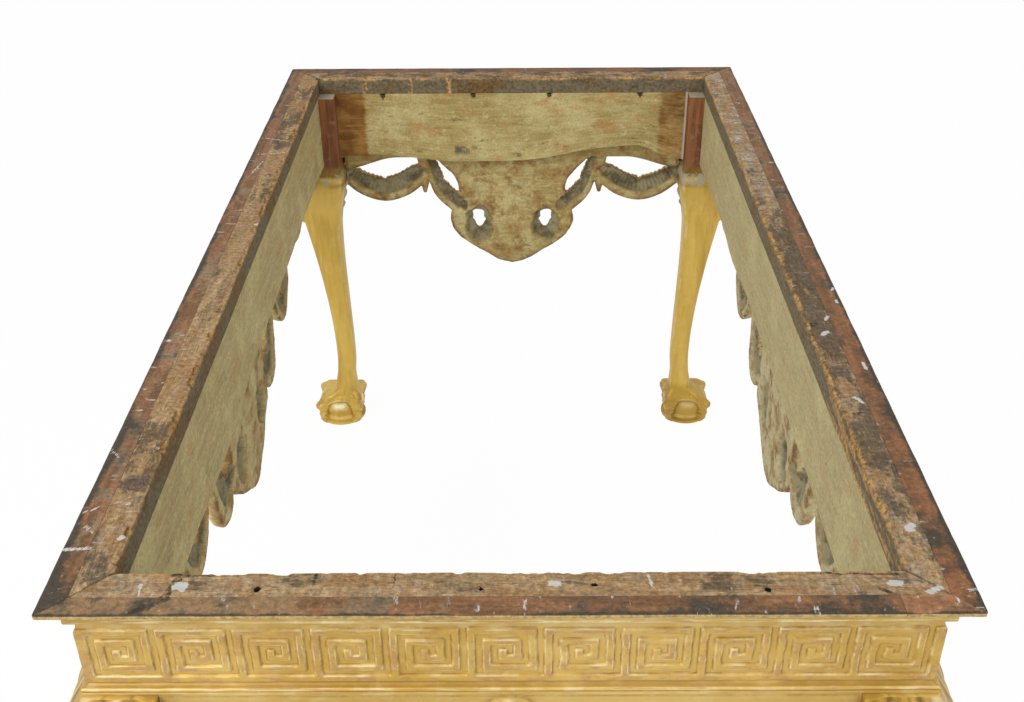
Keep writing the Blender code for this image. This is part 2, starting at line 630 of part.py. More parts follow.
# Board with carving, trimmed at the legs and the base moulding, and pierced by the two eyes
def apron_mesh(name, half, shapes, eye):
    for shape in shapes:
        shape.loop = np.clip(shape.loop, (-half, 0), (half, APRON_TOP))
    turn = 2 * math.pi * np.arange(EYE_SIDES) / EYE_SIDES
    hole = np.column_stack([EYE_RADIUS * np.cos(turn), EYE_STRETCH * EYE_RADIUS * np.sin(turn)])
    holes = [hole + eye, hole + (-eye[0], eye[1])]
    loops = [shape.loop for shape in shapes] + holes

    # Two drawings of the same outline: the plain back, and the front with points for the relief
    carved = [shape.loop for shape in shapes if not isinstance(shape, Band)]
    low = np.vstack(carved).min(axis=0)
    high = np.vstack(carved).max(axis=0)
    columns = np.arange(low[0] + RELIEF_STEP / 2, high[0], RELIEF_STEP)
    rows = np.arange(low[1] + RELIEF_STEP / 2, high[1], RELIEF_STEP)
    grid = np.array([(x + RELIEF_STEP / 2 * (i % 2), z) for i, z in enumerate(rows) for x in columns])
    keep = np.any([inside(loop, grid) for loop in carved], axis=0)
    outline_points = np.vstack(loops)
    clear = np.linalg.norm(grid[:, None] - outline_points[None], axis=2).min(axis=1) > RELIEF_STEP * 0.55
    spots = grid[keep & clear & ~np.any([inside(hole, grid) for hole in holes], axis=0)]

    def drawing(extra):
        corners = []
        rings = []
        for loop in loops:
            ring = list(range(len(corners), len(corners) + len(loop)))
            area = np.sum(loop[:, 0] * np.roll(loop[:, 1], -1) - np.roll(loop[:, 0], -1) * loop[:, 1])
            rings.append(ring if area > 0 else ring[::-1])
            corners += [Vector(p) for p in loop]
        corners += [Vector(p) for p in extra]
        result = delaunay_2d_cdt(corners, [], rings, 0, 1e-6)
        solid = set(range(len(shapes)))
        owners = [set(face_owners) for face_owners in result[5]]
        triangles = [t for t, own in zip(result[2], owners) if own and own <= solid]
        return np.array([tuple(v) for v in result[0]]), triangles

    front_plan, front_faces = drawing(spots)
    back_plan, back_faces = drawing([])

    def rim_edges(triangles):
        count = {}
        for t in triangles:
            for a, b in zip(t, t[1:] + t[:1]):
                count[frozenset((a, b))] = count.get(frozenset((a, b)), 0) + 1
        return [tuple(edge) for edge, times in count.items() if times == 1]

    # The outer edge stays thin, and the eyes are cut straight through the relief
    depth = np.max([shape.depth(front_plan) for shape in shapes], axis=0)
    edge_points = {i for edge in rim_edges(front_faces) for i in edge}
    to_eye = np.hypot(np.abs(front_plan[:, 0]) - eye[0], front_plan[:, 1] - eye[1])
    for i in edge_points:
        if to_eye[i] > 1.5 * EYE_RADIUS:
            depth[i] = min(depth[i], APRON_BAND_DEPTH)
    depth = np.maximum(depth, APRON_EDGE)
    points = [(x, apron_back(z) - d, z) for (x, z), d in zip(front_plan, depth)]
    start = len(points)
    points += [(x, apron_back(z), z) for x, z in back_plan]
    faces = [list(t) for t in front_faces] + [[start + i for i in t] for t in back_faces]
    nearest = {}
    for i in edge_points:
        nearest[i] = start + int(np.linalg.norm(back_plan - front_plan[i], axis=1).argmin())
    faces += [[a, b, nearest[b], nearest[a]] for a, b in rim_edges(front_faces)]

    used = sorted({i for face in faces for i in face})
    renumber = {old: new for new, old in enumerate(used)}
    faces = [[renumber[i] for i in face] for face in faces]
    return closed_mesh(name, [points[i] for i in used], faces, 50)


# Heights from drops below the apron's top
def dropped(knots):
    return [(x, APRON_TOP - drop) for x, drop in knots]


def both_sides(knots, widths, crown, steps):
    right = dropped(knots)
    return [Strand(right, widths, crown, steps), Strand(mirrored(right), widths, crown, steps)]


def tassels(x):
    knot = APRON_BAND - TASSEL_OVERLAP
    return both_sides([(x, knot), (x, knot + TASSEL_LENGTH)], TASSEL_WIDTHS, TASSEL_CROWN, 3)


# A festoon hangs from one side of its span to the other and sags most at its middle
def festoons(near, far, hang, sag, widths):
    middle = (near + far) / 2
    quarter = (far - near) / 4
    shoulder = hang + FESTOON_ROUNDNESS * sag
    knots = [(near, hang), (middle - quarter, shoulder), (middle, hang + sag),
             (middle + quarter, shoulder), (far, hang)]
    return both_sides(knots, widths, FESTOON_CROWN, 2)


def short_apron(name):
    half = HALF_WIDTH - APRON_END
    eye = dropped([SHORT_EYE])[0]
    shapes = [Band(half), Cartouche(dropped(SHORT_SHIELD), eye, 2)]
    near, far = SHORT_TASSEL + FESTOON_OFFSET, half - FESTOON_TUCK
    shapes += festoons(near, far, SHORT_HANG, SHORT_SAG, SHORT_FESTOON_WIDTHS)
    shapes += both_sides(SHORT_GARLAND, GARLAND_WIDTHS, FESTOON_CROWN, 2)
    shapes += tassels(SHORT_TASSEL)
    return apron_mesh(name, half, shapes, eye)


def long_apron(name):
    half = HALF_LENGTH - APRON_END
    eye = dropped([LONG_EYE])[0]
    inner, outer = LONG_INNER_TASSEL, LONG_OUTER_TASSEL
    shapes = [Band(half), Cartouche(dropped(LONG_SHIELD), eye, 2)]
    shapes += both_sides(LONG_LOBE, LOBE_WIDTHS, FESTOON_CROWN, 2)
    shapes += tassels(inner)
    near, far = inner + FESTOON_OFFSET, outer - FESTOON_OFFSET
    shapes += festoons(near, far, LONG_INNER_HANG, LONG_INNER_SAG, LONG_FESTOON_WIDTHS)
    shapes += tassels(outer)
    near, far = outer + FESTOON_OFFSET, half - FESTOON_TUCK
    shapes += festoons(near, far, LONG_OUTER_HANG, LONG_OUTER_SAG, LONG_FESTOON_WIDTHS)
    return apron_mesh(name, half, shapes, eye)


def frame_empties(names, spots):
    empties = {}
    for turn, (name, spot) in enumerate(zip(names, spots)):
        empty = bpy.data.objects.new("place_" + name, None)
        empty.location = (*spot, 0)
        empty.rotation_euler = (0, 0, turn * math.pi / 2)
        bpy.context.scene.collection.objects.link(empty)
        empties[name] = empty
    return empties


def build():
    for old in list(bpy.data.objects):
        bpy.data.objects.remove(old, do_unlink=True)

    gilding = new_material("gilding", (0.60, 0.37, 0.08), 0.38, 0.75)
    red_brown = new_material("red_brown_pine", (0.22, 0.09, 0.045), 0.65, 0.0)
    pine = new_material("weathered_pine", (0.37, 0.24, 0.13), 0.75, 0.0)
    painted = new_material("painted_pine", (0.36, 0.30, 0.15), 0.7, 0.0)
    steel = new_material("screw_steel", (0.12, 0.10, 0.08), 0.5, 0.9)

    sides = frame_empties(SIDES, [(0, -HALF_LENGTH), (HALF_WIDTH, 0), (0, HALF_LENGTH), (-HALF_WIDTH, 0)])
    corners = frame_empties(CORNERS, [(-HALF_WIDTH, -HALF_LENGTH), (HALF_WIDTH, -HALF_LENGTH),
                                      (HALF_WIDTH, HALF_LENGTH), (-HALF_WIDTH, HALF_LENGTH)])

    leg = leg_mesh()
    mortises = mortise_mesh()
    for name, corner in corners.items():
        cut_away(place("leg_" + name, leg, corner, gilding), "mortises_" + name, mortises)

    pockets = screw_cutter("screw_pockets")
    short_pair = (("front", "back"), HALF_WIDTH, short_apron)
    long_pair = (("right", "left"), HALF_LENGTH, long_apron)
    for pair, half_side, carve in (short_pair, long_pair):
        kind = pair[0] + "_" + pair[1]
        board = mitred_bar("top_board_" + kind, half_side, top_board_section())
        strip = mitred_bar("edge_strip_" + kind, half_side, strip_section())
        cornice = mitred_bar("cornice_mould_" + kind, half_side, cornice_section())
        base = mitred_bar("base_mould_" + kind, half_side, base_section())
        fret = fret_mesh("fret_frieze_" + kind, half_side)
        rail = rail_mesh("rail_" + kind, half_side)
        apron = carve("apron_" + kind)
        for side in pair:
            place("cornice_mould_" + side, cornice, sides[side], gilding)
            place("fret_frieze_" + side, fret, sides[side], gilding)
            place("base_mould_" + side, base, sides[side], gilding)
            place("apron_" + side, apron, sides[side], gilding)
            top_board = place("top_board_" + side, board, sides[side], pine)
            rail_piece = place("rail_" + side, rail, sides[side], painted)
            if half_side == HALF_WIDTH:
                cut_away(top_board, "board_pockets_" + side, pockets)
                cut_away(rail_piece, "rail_pockets_" + side, pockets)
                for number, x in enumerate(SCREW_PLACES, 1):
                    screw_name = "pocket_screw_" + side + "_" + str(number)
                    place(screw_name, screw_mesh(screw_name, x), sides[side], steel)
            if side == "front":
                butt = half_side - PATCH_LENGTH
                short_strip = mitred_bar("edge_strip_front", half_side, strip_section(), stop=butt - GLUE_GAP)
                patch = mitred_bar("edge_strip_patch", half_side, strip_section(), start=butt)
                place("edge_strip_front", short_strip, sides[side], red_brown)
                place("edge_strip_patch", patch, sides[side], red_brown)
            else:
                place("edge_strip_" + side, strip, sides[side], red_brown)


build()
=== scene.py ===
import math

import bpy
import numpy as np
from mathutils import Matrix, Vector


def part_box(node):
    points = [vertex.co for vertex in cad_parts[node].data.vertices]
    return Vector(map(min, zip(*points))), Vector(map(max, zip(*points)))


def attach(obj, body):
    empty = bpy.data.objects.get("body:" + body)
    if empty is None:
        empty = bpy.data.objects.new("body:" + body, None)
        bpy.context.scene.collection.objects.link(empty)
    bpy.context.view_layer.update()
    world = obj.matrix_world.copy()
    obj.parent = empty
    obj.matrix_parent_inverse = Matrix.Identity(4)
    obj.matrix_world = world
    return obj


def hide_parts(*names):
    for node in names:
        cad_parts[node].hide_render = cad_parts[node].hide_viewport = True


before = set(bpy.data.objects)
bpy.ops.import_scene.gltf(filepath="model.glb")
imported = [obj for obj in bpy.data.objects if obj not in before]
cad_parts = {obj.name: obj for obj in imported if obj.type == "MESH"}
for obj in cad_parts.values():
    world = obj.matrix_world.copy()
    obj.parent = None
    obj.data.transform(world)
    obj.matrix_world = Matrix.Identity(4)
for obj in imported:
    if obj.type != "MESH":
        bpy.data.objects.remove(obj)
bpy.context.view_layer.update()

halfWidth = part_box("edge_strip_right")[1].x
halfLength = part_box("edge_strip_back")[1].y
sideNames = ("front", "right", "back", "left")
cornerNames = ("front_left", "front_right", "back_right", "back_left")
mitreGap = 0.0002  # the joint line at a mitre, on each side of it
postSide = 0.059  # the square posts of the legs
railGap = 0.0001  # between the end of a rail and a post


# How far a left-hand piece lies in from the edge, outer and inner, and its lowest and highest points
def spanOf(node):
    low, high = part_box(node)
    return low.x + halfWidth, high.x + halfWidth, low.z, high.z


def halfSideOf(side):
    return halfWidth if side in ("front", "back") else halfLength


# A side's own measures to the table's: each side is the front turned a quarter further
def onSide(side, along, inset, height):
    along, inset, height = np.broadcast_arrays(along, inset, height)
    turned = {
        "front": (along, inset - halfLength),
        "right": (halfWidth - inset, along),
        "back": (-along, halfLength - inset),
        "left": (inset - halfWidth, -along),
    }
    return np.stack([*turned[side], height], axis=-1)


# A corner's own measures, in from its two edges, to the table's
def onCorner(corner, first, second, height):
    first, second, height = np.broadcast_arrays(first, second, height)
    turned = {
        "front_left": (first - halfWidth, second - halfLength),
        "front_right": (halfWidth - second, first - halfLength),
        "back_right": (halfWidth - first, halfLength - second),
        "back_left": (second - halfWidth, halfLength - first),
    }
    return np.stack([*turned[corner], height], axis=-1)


# 0 below low, 1 above high, eased between: the cubic 3s^2 - 2s^3
def eased(value, low, high):
    share = np.clip((value - low) / (high - low), 0, 1)
    return share * share * (3 - 2 * share)


# Eased up from 0 to 1, level, and eased down again
def spell(value, rise, full, wane, end):
    return eased(value, rise, full) * (1 - eased(value, wane, end))


# From the first value to the second as the share goes from 0 to 1
def mixed(first, second, share):
    return first + (second - first) * share


# A soft hump of height 1: exp(-((value - centre) / width)^2)
def hump(value, centre, width):
    return np.exp(-((value - centre) / width) ** 2)


# Value noise from 0 to 1: random heights on a lattice, eased between its corners, in octaves of half the size
def softNoise(u, v, seed, octaves=3):
    u, v = np.broadcast_arrays(np.asarray(u, float), np.asarray(v, float))
    total = np.zeros(u.shape)
    for octave in range(octaves):
        lattice = np.random.default_rng(seed + 101 * octave).random((97, 97))
        x, y = u * 2 ** octave, v * 2 ** octave
        i, j = np.floor(x).astype(int), np.floor(y).astype(int)
        a, b = eased(x - i, 0, 1), eased(y - j, 0, 1)
        near = lattice[i % 97, j % 97] * (1 - a) + lattice[(i + 1) % 97, j % 97] * a
        far = lattice[i % 97, (j + 1) % 97] * (1 - a) + lattice[(i + 1) % 97, (j + 1) % 97] * a
        total += 0.5 ** (octave + 1) * (near * (1 - b) + far * b)
    return total / (1 - 0.5 ** octaves)


# Smooth curve through the knots (Catmull-Rom), sampled evenly between them
def smoothCurve(knots, samples):
    knots = np.array(knots, float)
    padded = np.vstack([2 * knots[0] - knots[1], knots, 2 * knots[-1] - knots[-2]])
    place = np.linspace(0, len(knots) - 1, samples)
    stretch = np.minimum(place.astype(int), len(knots) - 2)
    share = (place - stretch)[:, None]
    a, b, c, d = (padded[stretch + k] for k in range(4))
    bend = (2 * a - 5 * b + 4 * c - d) * share ** 2 + (3 * b - a - 3 * c + d) * share ** 3
    return 0.5 * (2 * b + (c - a) * share + bend)


# A closed outline with points about one step apart, its corners kept
def fineLoop(corners, step):
    corners = np.array(corners, float)
    ends = np.roll(corners, -1, axis=0)
    counts = np.maximum(1, np.ceil(np.linalg.norm(ends - corners, axis=1) / step).astype(int))
    stretches = [mixed(a, b, np.linspace(0, 1, n, endpoint=False)[:, None])
                 for a, b, n in zip(corners, ends, counts)]
    return np.vstack(stretches).T


# Quads of a grid of points numbered row by row; around joins the last column to the first
def gridFaces(rows, columns, around=False):
    here = np.arange(rows * columns).reshape(rows, columns)
    beside = np.roll(here, -1, axis=1)
    if not around:
        here, beside = here[:, :-1], beside[:, :-1]
    return np.stack([here[:-1], beside[:-1], beside[1:], here[1:]], axis=-1).reshape(-1, 4)


# Mesh from points and quads, with caps, a grain map and marks for the finish; faces are turned outwards
def makePiece(name, points, quads, caps=(), grain=None, marks=None, sharpAngle=40):
    points = points.reshape(-1, 3)
    a, b, c, d = (points[quads[:, k]] for k in range(4))
    volume = np.sum(np.cross(a, b) * c) + np.sum(np.cross(a, c) * d)
    for cap in caps:
        fan = points[np.asarray(cap)]
        volume += np.sum(np.cross(fan[0], fan[1:-1]) * fan[2:])
    turn = -1 if volume < 0 else 1
    faces = quads[:, ::turn].tolist() + [list(cap)[::turn] for cap in caps]
    mesh = bpy.data.meshes.new(name)
    mesh.from_pydata(points.tolist(), [], faces)
    if grain is not None:
        corners = np.empty(len(mesh.loops), np.int32)
        mesh.loops.foreach_get("vertex_index", corners)
        layer = mesh.uv_layers.new(name="grain")
        layer.data.foreach_set("uv", grain.reshape(-1, 2)[corners].astype(np.float32).ravel())
    for key, values in (marks or {}).items():
        layer = mesh.attributes.new(key, "FLOAT", "POINT")
        layer.data.foreach_set("value", np.ascontiguousarray(values, np.float32).ravel())
    mesh.shade_smooth()
    mesh.set_sharp_from_angle(angle=math.radians(sharpAngle))
    piece = bpy.data.objects.new(name, mesh)
    bpy.context.scene.collection.objects.link(piece)
    return piece


# A piece takes its place in the frame: its body, the CAD node it stands for, and its finish
def settle(piece, node, material):
    piece.data.materials.append(material)
    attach(piece, "root")
    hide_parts(node)


# A section carried along its side: each point runs to the mitre, half the side less its own inset.
# wear moves the points and returns the marks that the finish reads.
def mitredBar(name, side, section, step, wear, start=None, stop=None):
    inset, height = section
    reach = halfSideOf(side) - inset - mitreGap
    low = -reach if start is None else np.full_like(reach, start)
    high = reach if stop is None else np.full_like(reach, stop)
    stations = int((high - low).max() / step) + 2
    along = mixed(low, high, np.linspace(0, 1, stations)[:, None])
    worn, inset, height, marks = wear(along, inset + 0 * along, height + 0 * along)
    points = onSide(side, worn, inset, height)
    across = np.cumsum(np.hypot(np.diff(section[0], prepend=section[0][0]),
                                np.diff(section[1], prepend=section[1][0])))
    grain = np.stack([along, across + 0 * along], axis=-1)
    count = len(across)
    caps = [np.arange(count)[::-1], np.arange(count) + (stations - 1) * count]
    return makePiece(name, points, gridFaces(stations, count, True), caps, grain, marks)


# A socket takes a value, or a link from another socket
def put(tree, value, socket):
    if isinstance(value, bpy.types.NodeSocket):
        tree.links.new(value, socket)
    elif hasattr(value, "__len__") and len(value) == 3 and socket.type == "RGBA":
        socket.default_value = (*value, 1)
    else:
        socket.default_value = value


# A new node with its settings and its inputs, by name or number
def newNode(tree, kind, inputs=None, **settings):
    made = tree.nodes.new("ShaderNode" + kind)
    for key, value in settings.items():
        setattr(made, key, value)
    for key, value in (inputs or {}).items():
        put(tree, value, made.inputs[key])
    return made


def newFinish(name):
    material = bpy.data.materials.new(name)
    material.use_nodes = True
    return material, material.node_tree, material.node_tree.nodes["Principled BSDF"]


def objectPlace(tree):
    return newNode(tree, "TexCoord").outputs["Object"]


def grainPlace(tree):
    return newNode(tree, "UVMap", uv_map="grain").outputs[0]


def mark(tree, name):
    return newNode(tree, "Attribute", attribute_name=name).outputs["Fac"]


def cloud(tree, place, scale, detail=4, stretch=(1, 1, 1), turn=0, rough=0.55):
    turned = {"Vector": place, "Rotation": (0, 0, math.radians(turn)), "Scale": stretch}
    mapping = newNode(tree, "Mapping", turned)
    grains = {"Vector": mapping.outputs[0], "Scale": scale, "Detail": detail, "Roughness": rough}
    return newNode(tree, "TexNoise", grains).outputs[0]


# Rings round a centre, one at every pitch, bent a little; the wave turns 20 times its scale in a metre
def growthRings(tree, place, centre, pitch):
    mapping = newNode(tree, "Mapping", {"Vector": place, "Location": (-centre[0], -centre[1], 0)})
    bends = {"Vector": mapping.outputs[0], "Scale": 2 * math.pi / (20 * pitch), "Distortion": 11.0,
             "Detail": 3.0, "Detail Scale": 1.6}
    return newNode(tree, "TexWave", bends, wave_type="RINGS", rings_direction="Z").outputs["Fac"]


# From one pair of values to another, by the same cubic as eased
def between(tree, value, low, high, outLow=0.0, outHigh=1.0):
    spans = {"Value": value, "From Min": low, "From Max": high, "To Min": outLow, "To Max": outHigh}
    return newNode(tree, "MapRange", spans, interpolation_type="SMOOTHSTEP").outputs[0]


def sums(tree, operation, first, second):
    return newNode(tree, "Math", {0: first, 1: second}, operation=operation).outputs[0]


def times(tree, first, second):
    return sums(tree, "MULTIPLY", first, second)


def plus(tree, first, *more):
    for second in more:
        first = sums(tree, "ADD", first, second)
    return first


def blend(tree, factor, first, second, mode="MIX"):
    colours = {0: factor, 6: first, 7: second}
    return newNode(tree, "Mix", colours, data_type="RGBA", blend_type=mode).outputs[2]


def bump(tree, shader, height, distance, strength):
    made = newNode(tree, "Bump", {"Strength": strength, "Distance": distance, "Height": height})
    put(tree, made.outputs[0], shader.inputs["Normal"])


# A noise as an offset to either side of nothing
def offset(tree, noise, reach):
    return between(tree, noise, 0.3, 0.7, -reach, reach)


# A mark with its soft rim broken up by noise, then drawn crisp
def ragged(tree, name, noise, strength):
    return between(tree, plus(tree, mark(tree, name), offset(tree, noise, 0.3)), 0.32, 0.52, 0, strength)


# Black stains, mottled, and white filler
def stained(tree, blotch, fine):
    return times(tree, ragged(tree, "stain", blotch, 0.9), between(tree, fine, 0.38, 0.62, 1.0, 0.4))


def filled(tree, fine):
    return ragged(tree, "filler", fine, 0.95)


# Coats laid one over another. A row has the colour, the field that says where it lies, the two values of the
# field between which it comes in, and how strong it is at each; a field alone is its own strength.
def coats(tree, colour, look, *rows):
    for paint, field, *span in rows:
        where = between(tree, field, *span) if span else field
        colour = blend(tree, where, colour, look[paint] if isinstance(paint, str) else paint)
    return colour


# Darker and lighter by a fine noise
def dusted(tree, colour, noise, least, most):
    return blend(tree, 1.0, colour, between(tree, noise, 0.28, 0.72, least, most), "MULTIPLY")


# Colour, roughness, gloss and bump of a finish
def dress(tree, shader, look, colour, rough, height, gloss=None):
    put(tree, colour, shader.inputs["Base Color"])
    put(tree, rough, shader.inputs["Roughness"])
    put(tree, look["gloss"] if gloss is None else gloss, shader.inputs["Specular IOR Level"])
    bump(tree, shader, height, *look["bump"])


# Worn gilding: leaf over red-brown bole, worn pale at the edges with a painted highlight there, brown on the
# crests, and dark in the hollows as a painted shade
giltLook = {
    "leaf": (0.64, 0.43, 0.115), "deepLeaf": (0.53, 0.33, 0.060), "paleLeaf": (0.76, 0.59, 0.26),
    # rubbedHighlight: worn pale edges with a painted highlight; hollow: the colour of the painted shade in
    # the recesses
    "rubbedHighlight": (0.83, 0.71, 0.39), "bole": (0.34, 0.155, 0.058), "gesso": (0.52, 0.31, 0.125),
    "hollow": (0.27, 0.135, 0.022), "metal": 0.40, "flatMetal": 0.26, "roughness": (0.40, 0.60),
    "gloss": 0.32, "evenness": 0.0, "bump": (0.0006, 0.5),
}


def giltColour(tree, place, look=giltLook, tonedAndShaded=0.0):
    tone = cloud(tree, place, 4.0, 5, rough=0.6)
    small = cloud(tree, place, 48.0, 5, rough=0.65)
    fine = cloud(tree, place, 240.0, 3)
    # Painted shade in the hollows, by the hollow mark
    sunk = times(tree, mark(tree, "hollow"), between(tree, small, 0.2, 0.75, 1.0, 0.6))
    onCrest = times(tree, mark(tree, "ridge"), between(tree, small, 0.36, 0.58))
    bole = times(tree, onCrest, between(tree, fine, 0.30, 0.62, 0.35, 0.9))
    ground = coats(tree, look["bole"], look, ("gesso", fine, 0.42, 0.66))
    # Worn pale edges with a painted highlight on them, by the edge mark
    edgeWearAndHighlight = times(tree, mark(tree, "edge"), between(tree, small, 0.34, 0.62, 0.3, 1.0))
    colour = coats(tree, look["deepLeaf"], look,
                   ("leaf", tone, 0.36, 0.64, look["evenness"], 1.0),
                   ("paleLeaf", small, 0.44, 0.76, 0, 0.45), ("deepLeaf", tonedAndShaded),
                   ("hollow", sunk), (ground, bole), ("rubbedHighlight", edgeWearAndHighlight))
    return colour, bole, small, fine


# The share of metal falls to none where the bole shows
def leafMetal(tree, bole, metal):
    return between(tree, bole, 0.0, 0.7, metal, 0.0)


def leafRoughness(tree, small):
    return between(tree, small, 0.25, 0.75, *giltLook["roughness"])


def giltFinish():
    material, tree, shader = newFinish("wornGilding")
    colour, bole, small, fine = giltColour(tree, objectPlace(tree))
    put(tree, leafMetal(tree, bole, giltLook["flatMetal"]), shader.inputs["Metallic"])
    height = plus(tree, small, times(tree, fine, 0.4))
    dress(tree, shader, giltLook, colour, leafRoughness(tree, small), height)
    return material


# Bare pine of the seat: light and dark grain, saw marks across it, a knot, grey dirt, white scratches,
# white filler, black stains and holes, and a torn inner edge; the inner faces are painted darker as a painted
# shade
pineLook = {
    "light": (0.51, 0.345, 0.170), "mid": (0.275, 0.165, 0.072), "tan": (0.37, 0.205, 0.085),
    "dark": (0.085, 0.058, 0.033), "grey": (0.255, 0.215, 0.155), "paleGrey": (0.56, 0.50, 0.39),
    # inside and insideGrey: the colours of the painted shade on the inner faces
    "splinter": (0.55, 0.32, 0.115), "inside": (0.160, 0.098, 0.038), "insideGrey": (0.172, 0.142, 0.086),
    "filler": (0.62, 0.60, 0.56), "stain": (0.030, 0.022, 0.016), "hole": (0.010, 0.008, 0.006),
    "knot": (0.165, 0.115, 0.086), "knotPlace": (-0.398, -0.580), "ringPitch": 0.0062,
    "gloss": 0.12, "bump": (0.003, 0.9),
}


def pineFinish():
    look = pineLook
    material, tree, shader = newFinish("barePine")
    place, grain = objectPlace(tree), grainPlace(tree)
    streak = cloud(tree, grain, 7.0, 6, (1, 9, 1), rough=0.60)
    fibre = cloud(tree, grain, 38.0, 6, (1, 12, 1), rough=0.68)
    patch = cloud(tree, place, 11.0, 6, rough=0.60)
    blotch = cloud(tree, grain, 17.0, 9, (1, 2.4, 1), rough=0.74)
    fine = cloud(tree, place, 170.0, 5, rough=0.70)
    saw = cloud(tree, grain, 80.0, 5, (1, 0.16, 1), 8, 0.65)
    inside, dusty = mark(tree, "inside"), mark(tree, "greyed")
    pale = coats(tree, look["grey"], look, ("paleGrey", saw, 0.40, 0.60))
    greyed = times(tree, dusty, between(tree, blotch, 0.40, 0.62))
    soiled = plus(tree, offset(tree, blotch, 0.6), between(tree, patch, 0.70, 0.30, -0.5, 0.5),
                  mark(tree, "soil"))
    rings = growthRings(tree, place, look["knotPlace"], look["ringPitch"])
    knot = coats(tree, look["knot"], look, ("stain", rings, 0.30, 0.90, 0, 0.55))
    dulled = plus(tree, patch, times(tree, dusty, 0.14))
    # The inner faces: a painted shade, dark brown with grey patches, tan fibres and dark blotches in it
    shade = coats(tree, look["inside"], look, ("insideGrey", dulled, 0.48, 0.62),
                  ("tan", fibre, 0.54, 0.66, 0, 0.7), ("dark", blotch, 0.54, 0.66, 0, 0.8))
    splinter = times(tree, mark(tree, "splinter"), between(tree, fine, 0.36, 0.52, 0.3, 1.0))
    scratch = between(tree, cloud(tree, grain, 105.0, 5, (1, 0.22, 1), 24, 0.7), 0.61, 0.68)
    scratch = times(tree, scratch, between(tree, cloud(tree, place, 15.0, 3), 0.48, 0.58))
    scratch = times(tree, scratch, between(tree, inside, 0.2, 0.8, 0.85, 0.0))
    colour = coats(tree, look["mid"], look,
                   ("light", streak, 0.36, 0.62), ("tan", patch, 0.42, 0.62, 0, 0.75), (pale, greyed),
                   ("dark", soiled, 0.05, 0.60, 0, 0.8), ("dark", fibre, 0.57, 0.68, 0, 0.7),
                   ("light", saw, 0.60, 0.70, 0, 0.4), ("light", fibre, 0.34, 0.43, 0.6, 0),
                   (knot, mark(tree, "knot")), (shade, inside), ("splinter", splinter), ("filler", scratch))
    colour = dusted(tree, colour, fine, 0.58, 1.38)
    speck = times(tree, between(tree, fine, 0.65, 0.70, 0, 0.75), between(tree, inside, 0.2, 0.8, 1, 0))
    colour = coats(tree, colour, look, ("filler", speck), ("stain", stained(tree, blotch, fine)),
                   ("filler", filled(tree, fine)), ("hole", mark(tree, "hole"), 0.25, 0.55))
    height = plus(tree, fibre, blotch, times(tree, fine, 0.5))
    dress(tree, shader, look, colour, between(tree, patch, 0.3, 0.7, 0.62, 0.85), height)
    return material


# Red-brown edge strip: stained pine under a pale film, black with dirt towards the nose, with white flecks;
# the nose of the near strip is gilt
stripLook = {
    "red": (0.285, 0.138, 0.066), "brown": (0.165, 0.088, 0.042), "film": (0.34, 0.250, 0.155),
    "tan": (0.29, 0.182, 0.090), "grime": (0.060, 0.050, 0.036), "fleck": (0.58, 0.56, 0.52),
    "deepRed": (0.270, 0.112, 0.046), "patch": (0.40, 0.195, 0.098), "stain": (0.030, 0.022, 0.016),
    "nose": (0.66, 0.46, 0.18), "gloss": 0.14, "bump": (0.0025, 0.9),
}


def stripFinish():
    look = stripLook
    material, tree, shader = newFinish("redBrownStrip")
    place, grain = objectPlace(tree), grainPlace(tree)
    streak = cloud(tree, grain, 7.0, 7, (1, 10, 1), rough=0.64)
    patch = cloud(tree, place, 7.5, 6, rough=0.60)
    blotch = cloud(tree, place, 34.0, 7, rough=0.68)
    fine = cloud(tree, place, 190.0, 6, rough=0.75)
    bleach = mark(tree, "bleach")
    bleached = plus(tree, bleach, offset(tree, blotch, 0.45))
    film = plus(tree, offset(tree, patch, 0.5), offset(tree, blotch, 0.4),
                between(tree, bleach, -1.0, 0.0, -0.6, 0.0))
    mended = coats(tree, look["patch"], look, ("red", blotch, 0.42, 0.60))
    dirty = plus(tree, mark(tree, "grime"), between(tree, patch, 0.3, 0.7, -0.55, 0.45),
                 offset(tree, blotch, 0.45))
    fleck = between(tree, cloud(tree, grain, 95.0, 5, (1, 0.30, 1), -30, 0.7), 0.60, 0.67)
    fleck = times(tree, fleck, between(tree, cloud(tree, place, 11.0, 3), 0.45, 0.57))
    colour = coats(tree, look["brown"], look,
                   ("red", streak, 0.40, 0.60), ("tan", bleached, 0.25, 0.75, 0, 0.9),
                   ("film", film, 0.0, 0.55, 0, 0.75), ("deepRed", bleach, -1.0, 0.0, 0.6, 0.0),
                   (mended, mark(tree, "repair")), ("grime", dirty, 0.15, 0.95, 0, 0.95), ("fleck", fleck))
    colour = dusted(tree, colour, fine, 0.60, 1.34)
    nose = times(tree, mark(tree, "giltNose"), between(tree, fine, 0.40, 0.60, 0.55, 1.0))
    colour = coats(tree, colour, look, ("fleck", fine, 0.65, 0.70, 0, 0.75),
                   ("stain", stained(tree, blotch, fine)), ("fleck", filled(tree, fine)), ("nose", nose))
    height = plus(tree, streak, blotch, times(tree, fine, 0.5))
    dress(tree, shader, look, colour, between(tree, fine, 0.3, 0.7, 0.5, 0.8), height)
    return material


# Rails: a thin ochre wash brushed along sawn pine, stained, cracked and flaked, with bare brown ends
washLook = {
    "wash": (0.43, 0.345, 0.140), "thin": (0.335, 0.245, 0.086), "pale": (0.53, 0.455, 0.215),
    "bare": (0.155, 0.058, 0.010), "bareLight": (0.36, 0.185, 0.045), "orange": (0.44, 0.215, 0.065),
    "crack": (0.105, 0.070, 0.026), "grey": (0.125, 0.115, 0.078), "chalkAndLight": (0.50, 0.455, 0.275),
    "chip": (0.60, 0.52, 0.29), "plaster": (0.60, 0.56, 0.45), "gloss": 0.15, "bump": (0.0026, 0.8),
}


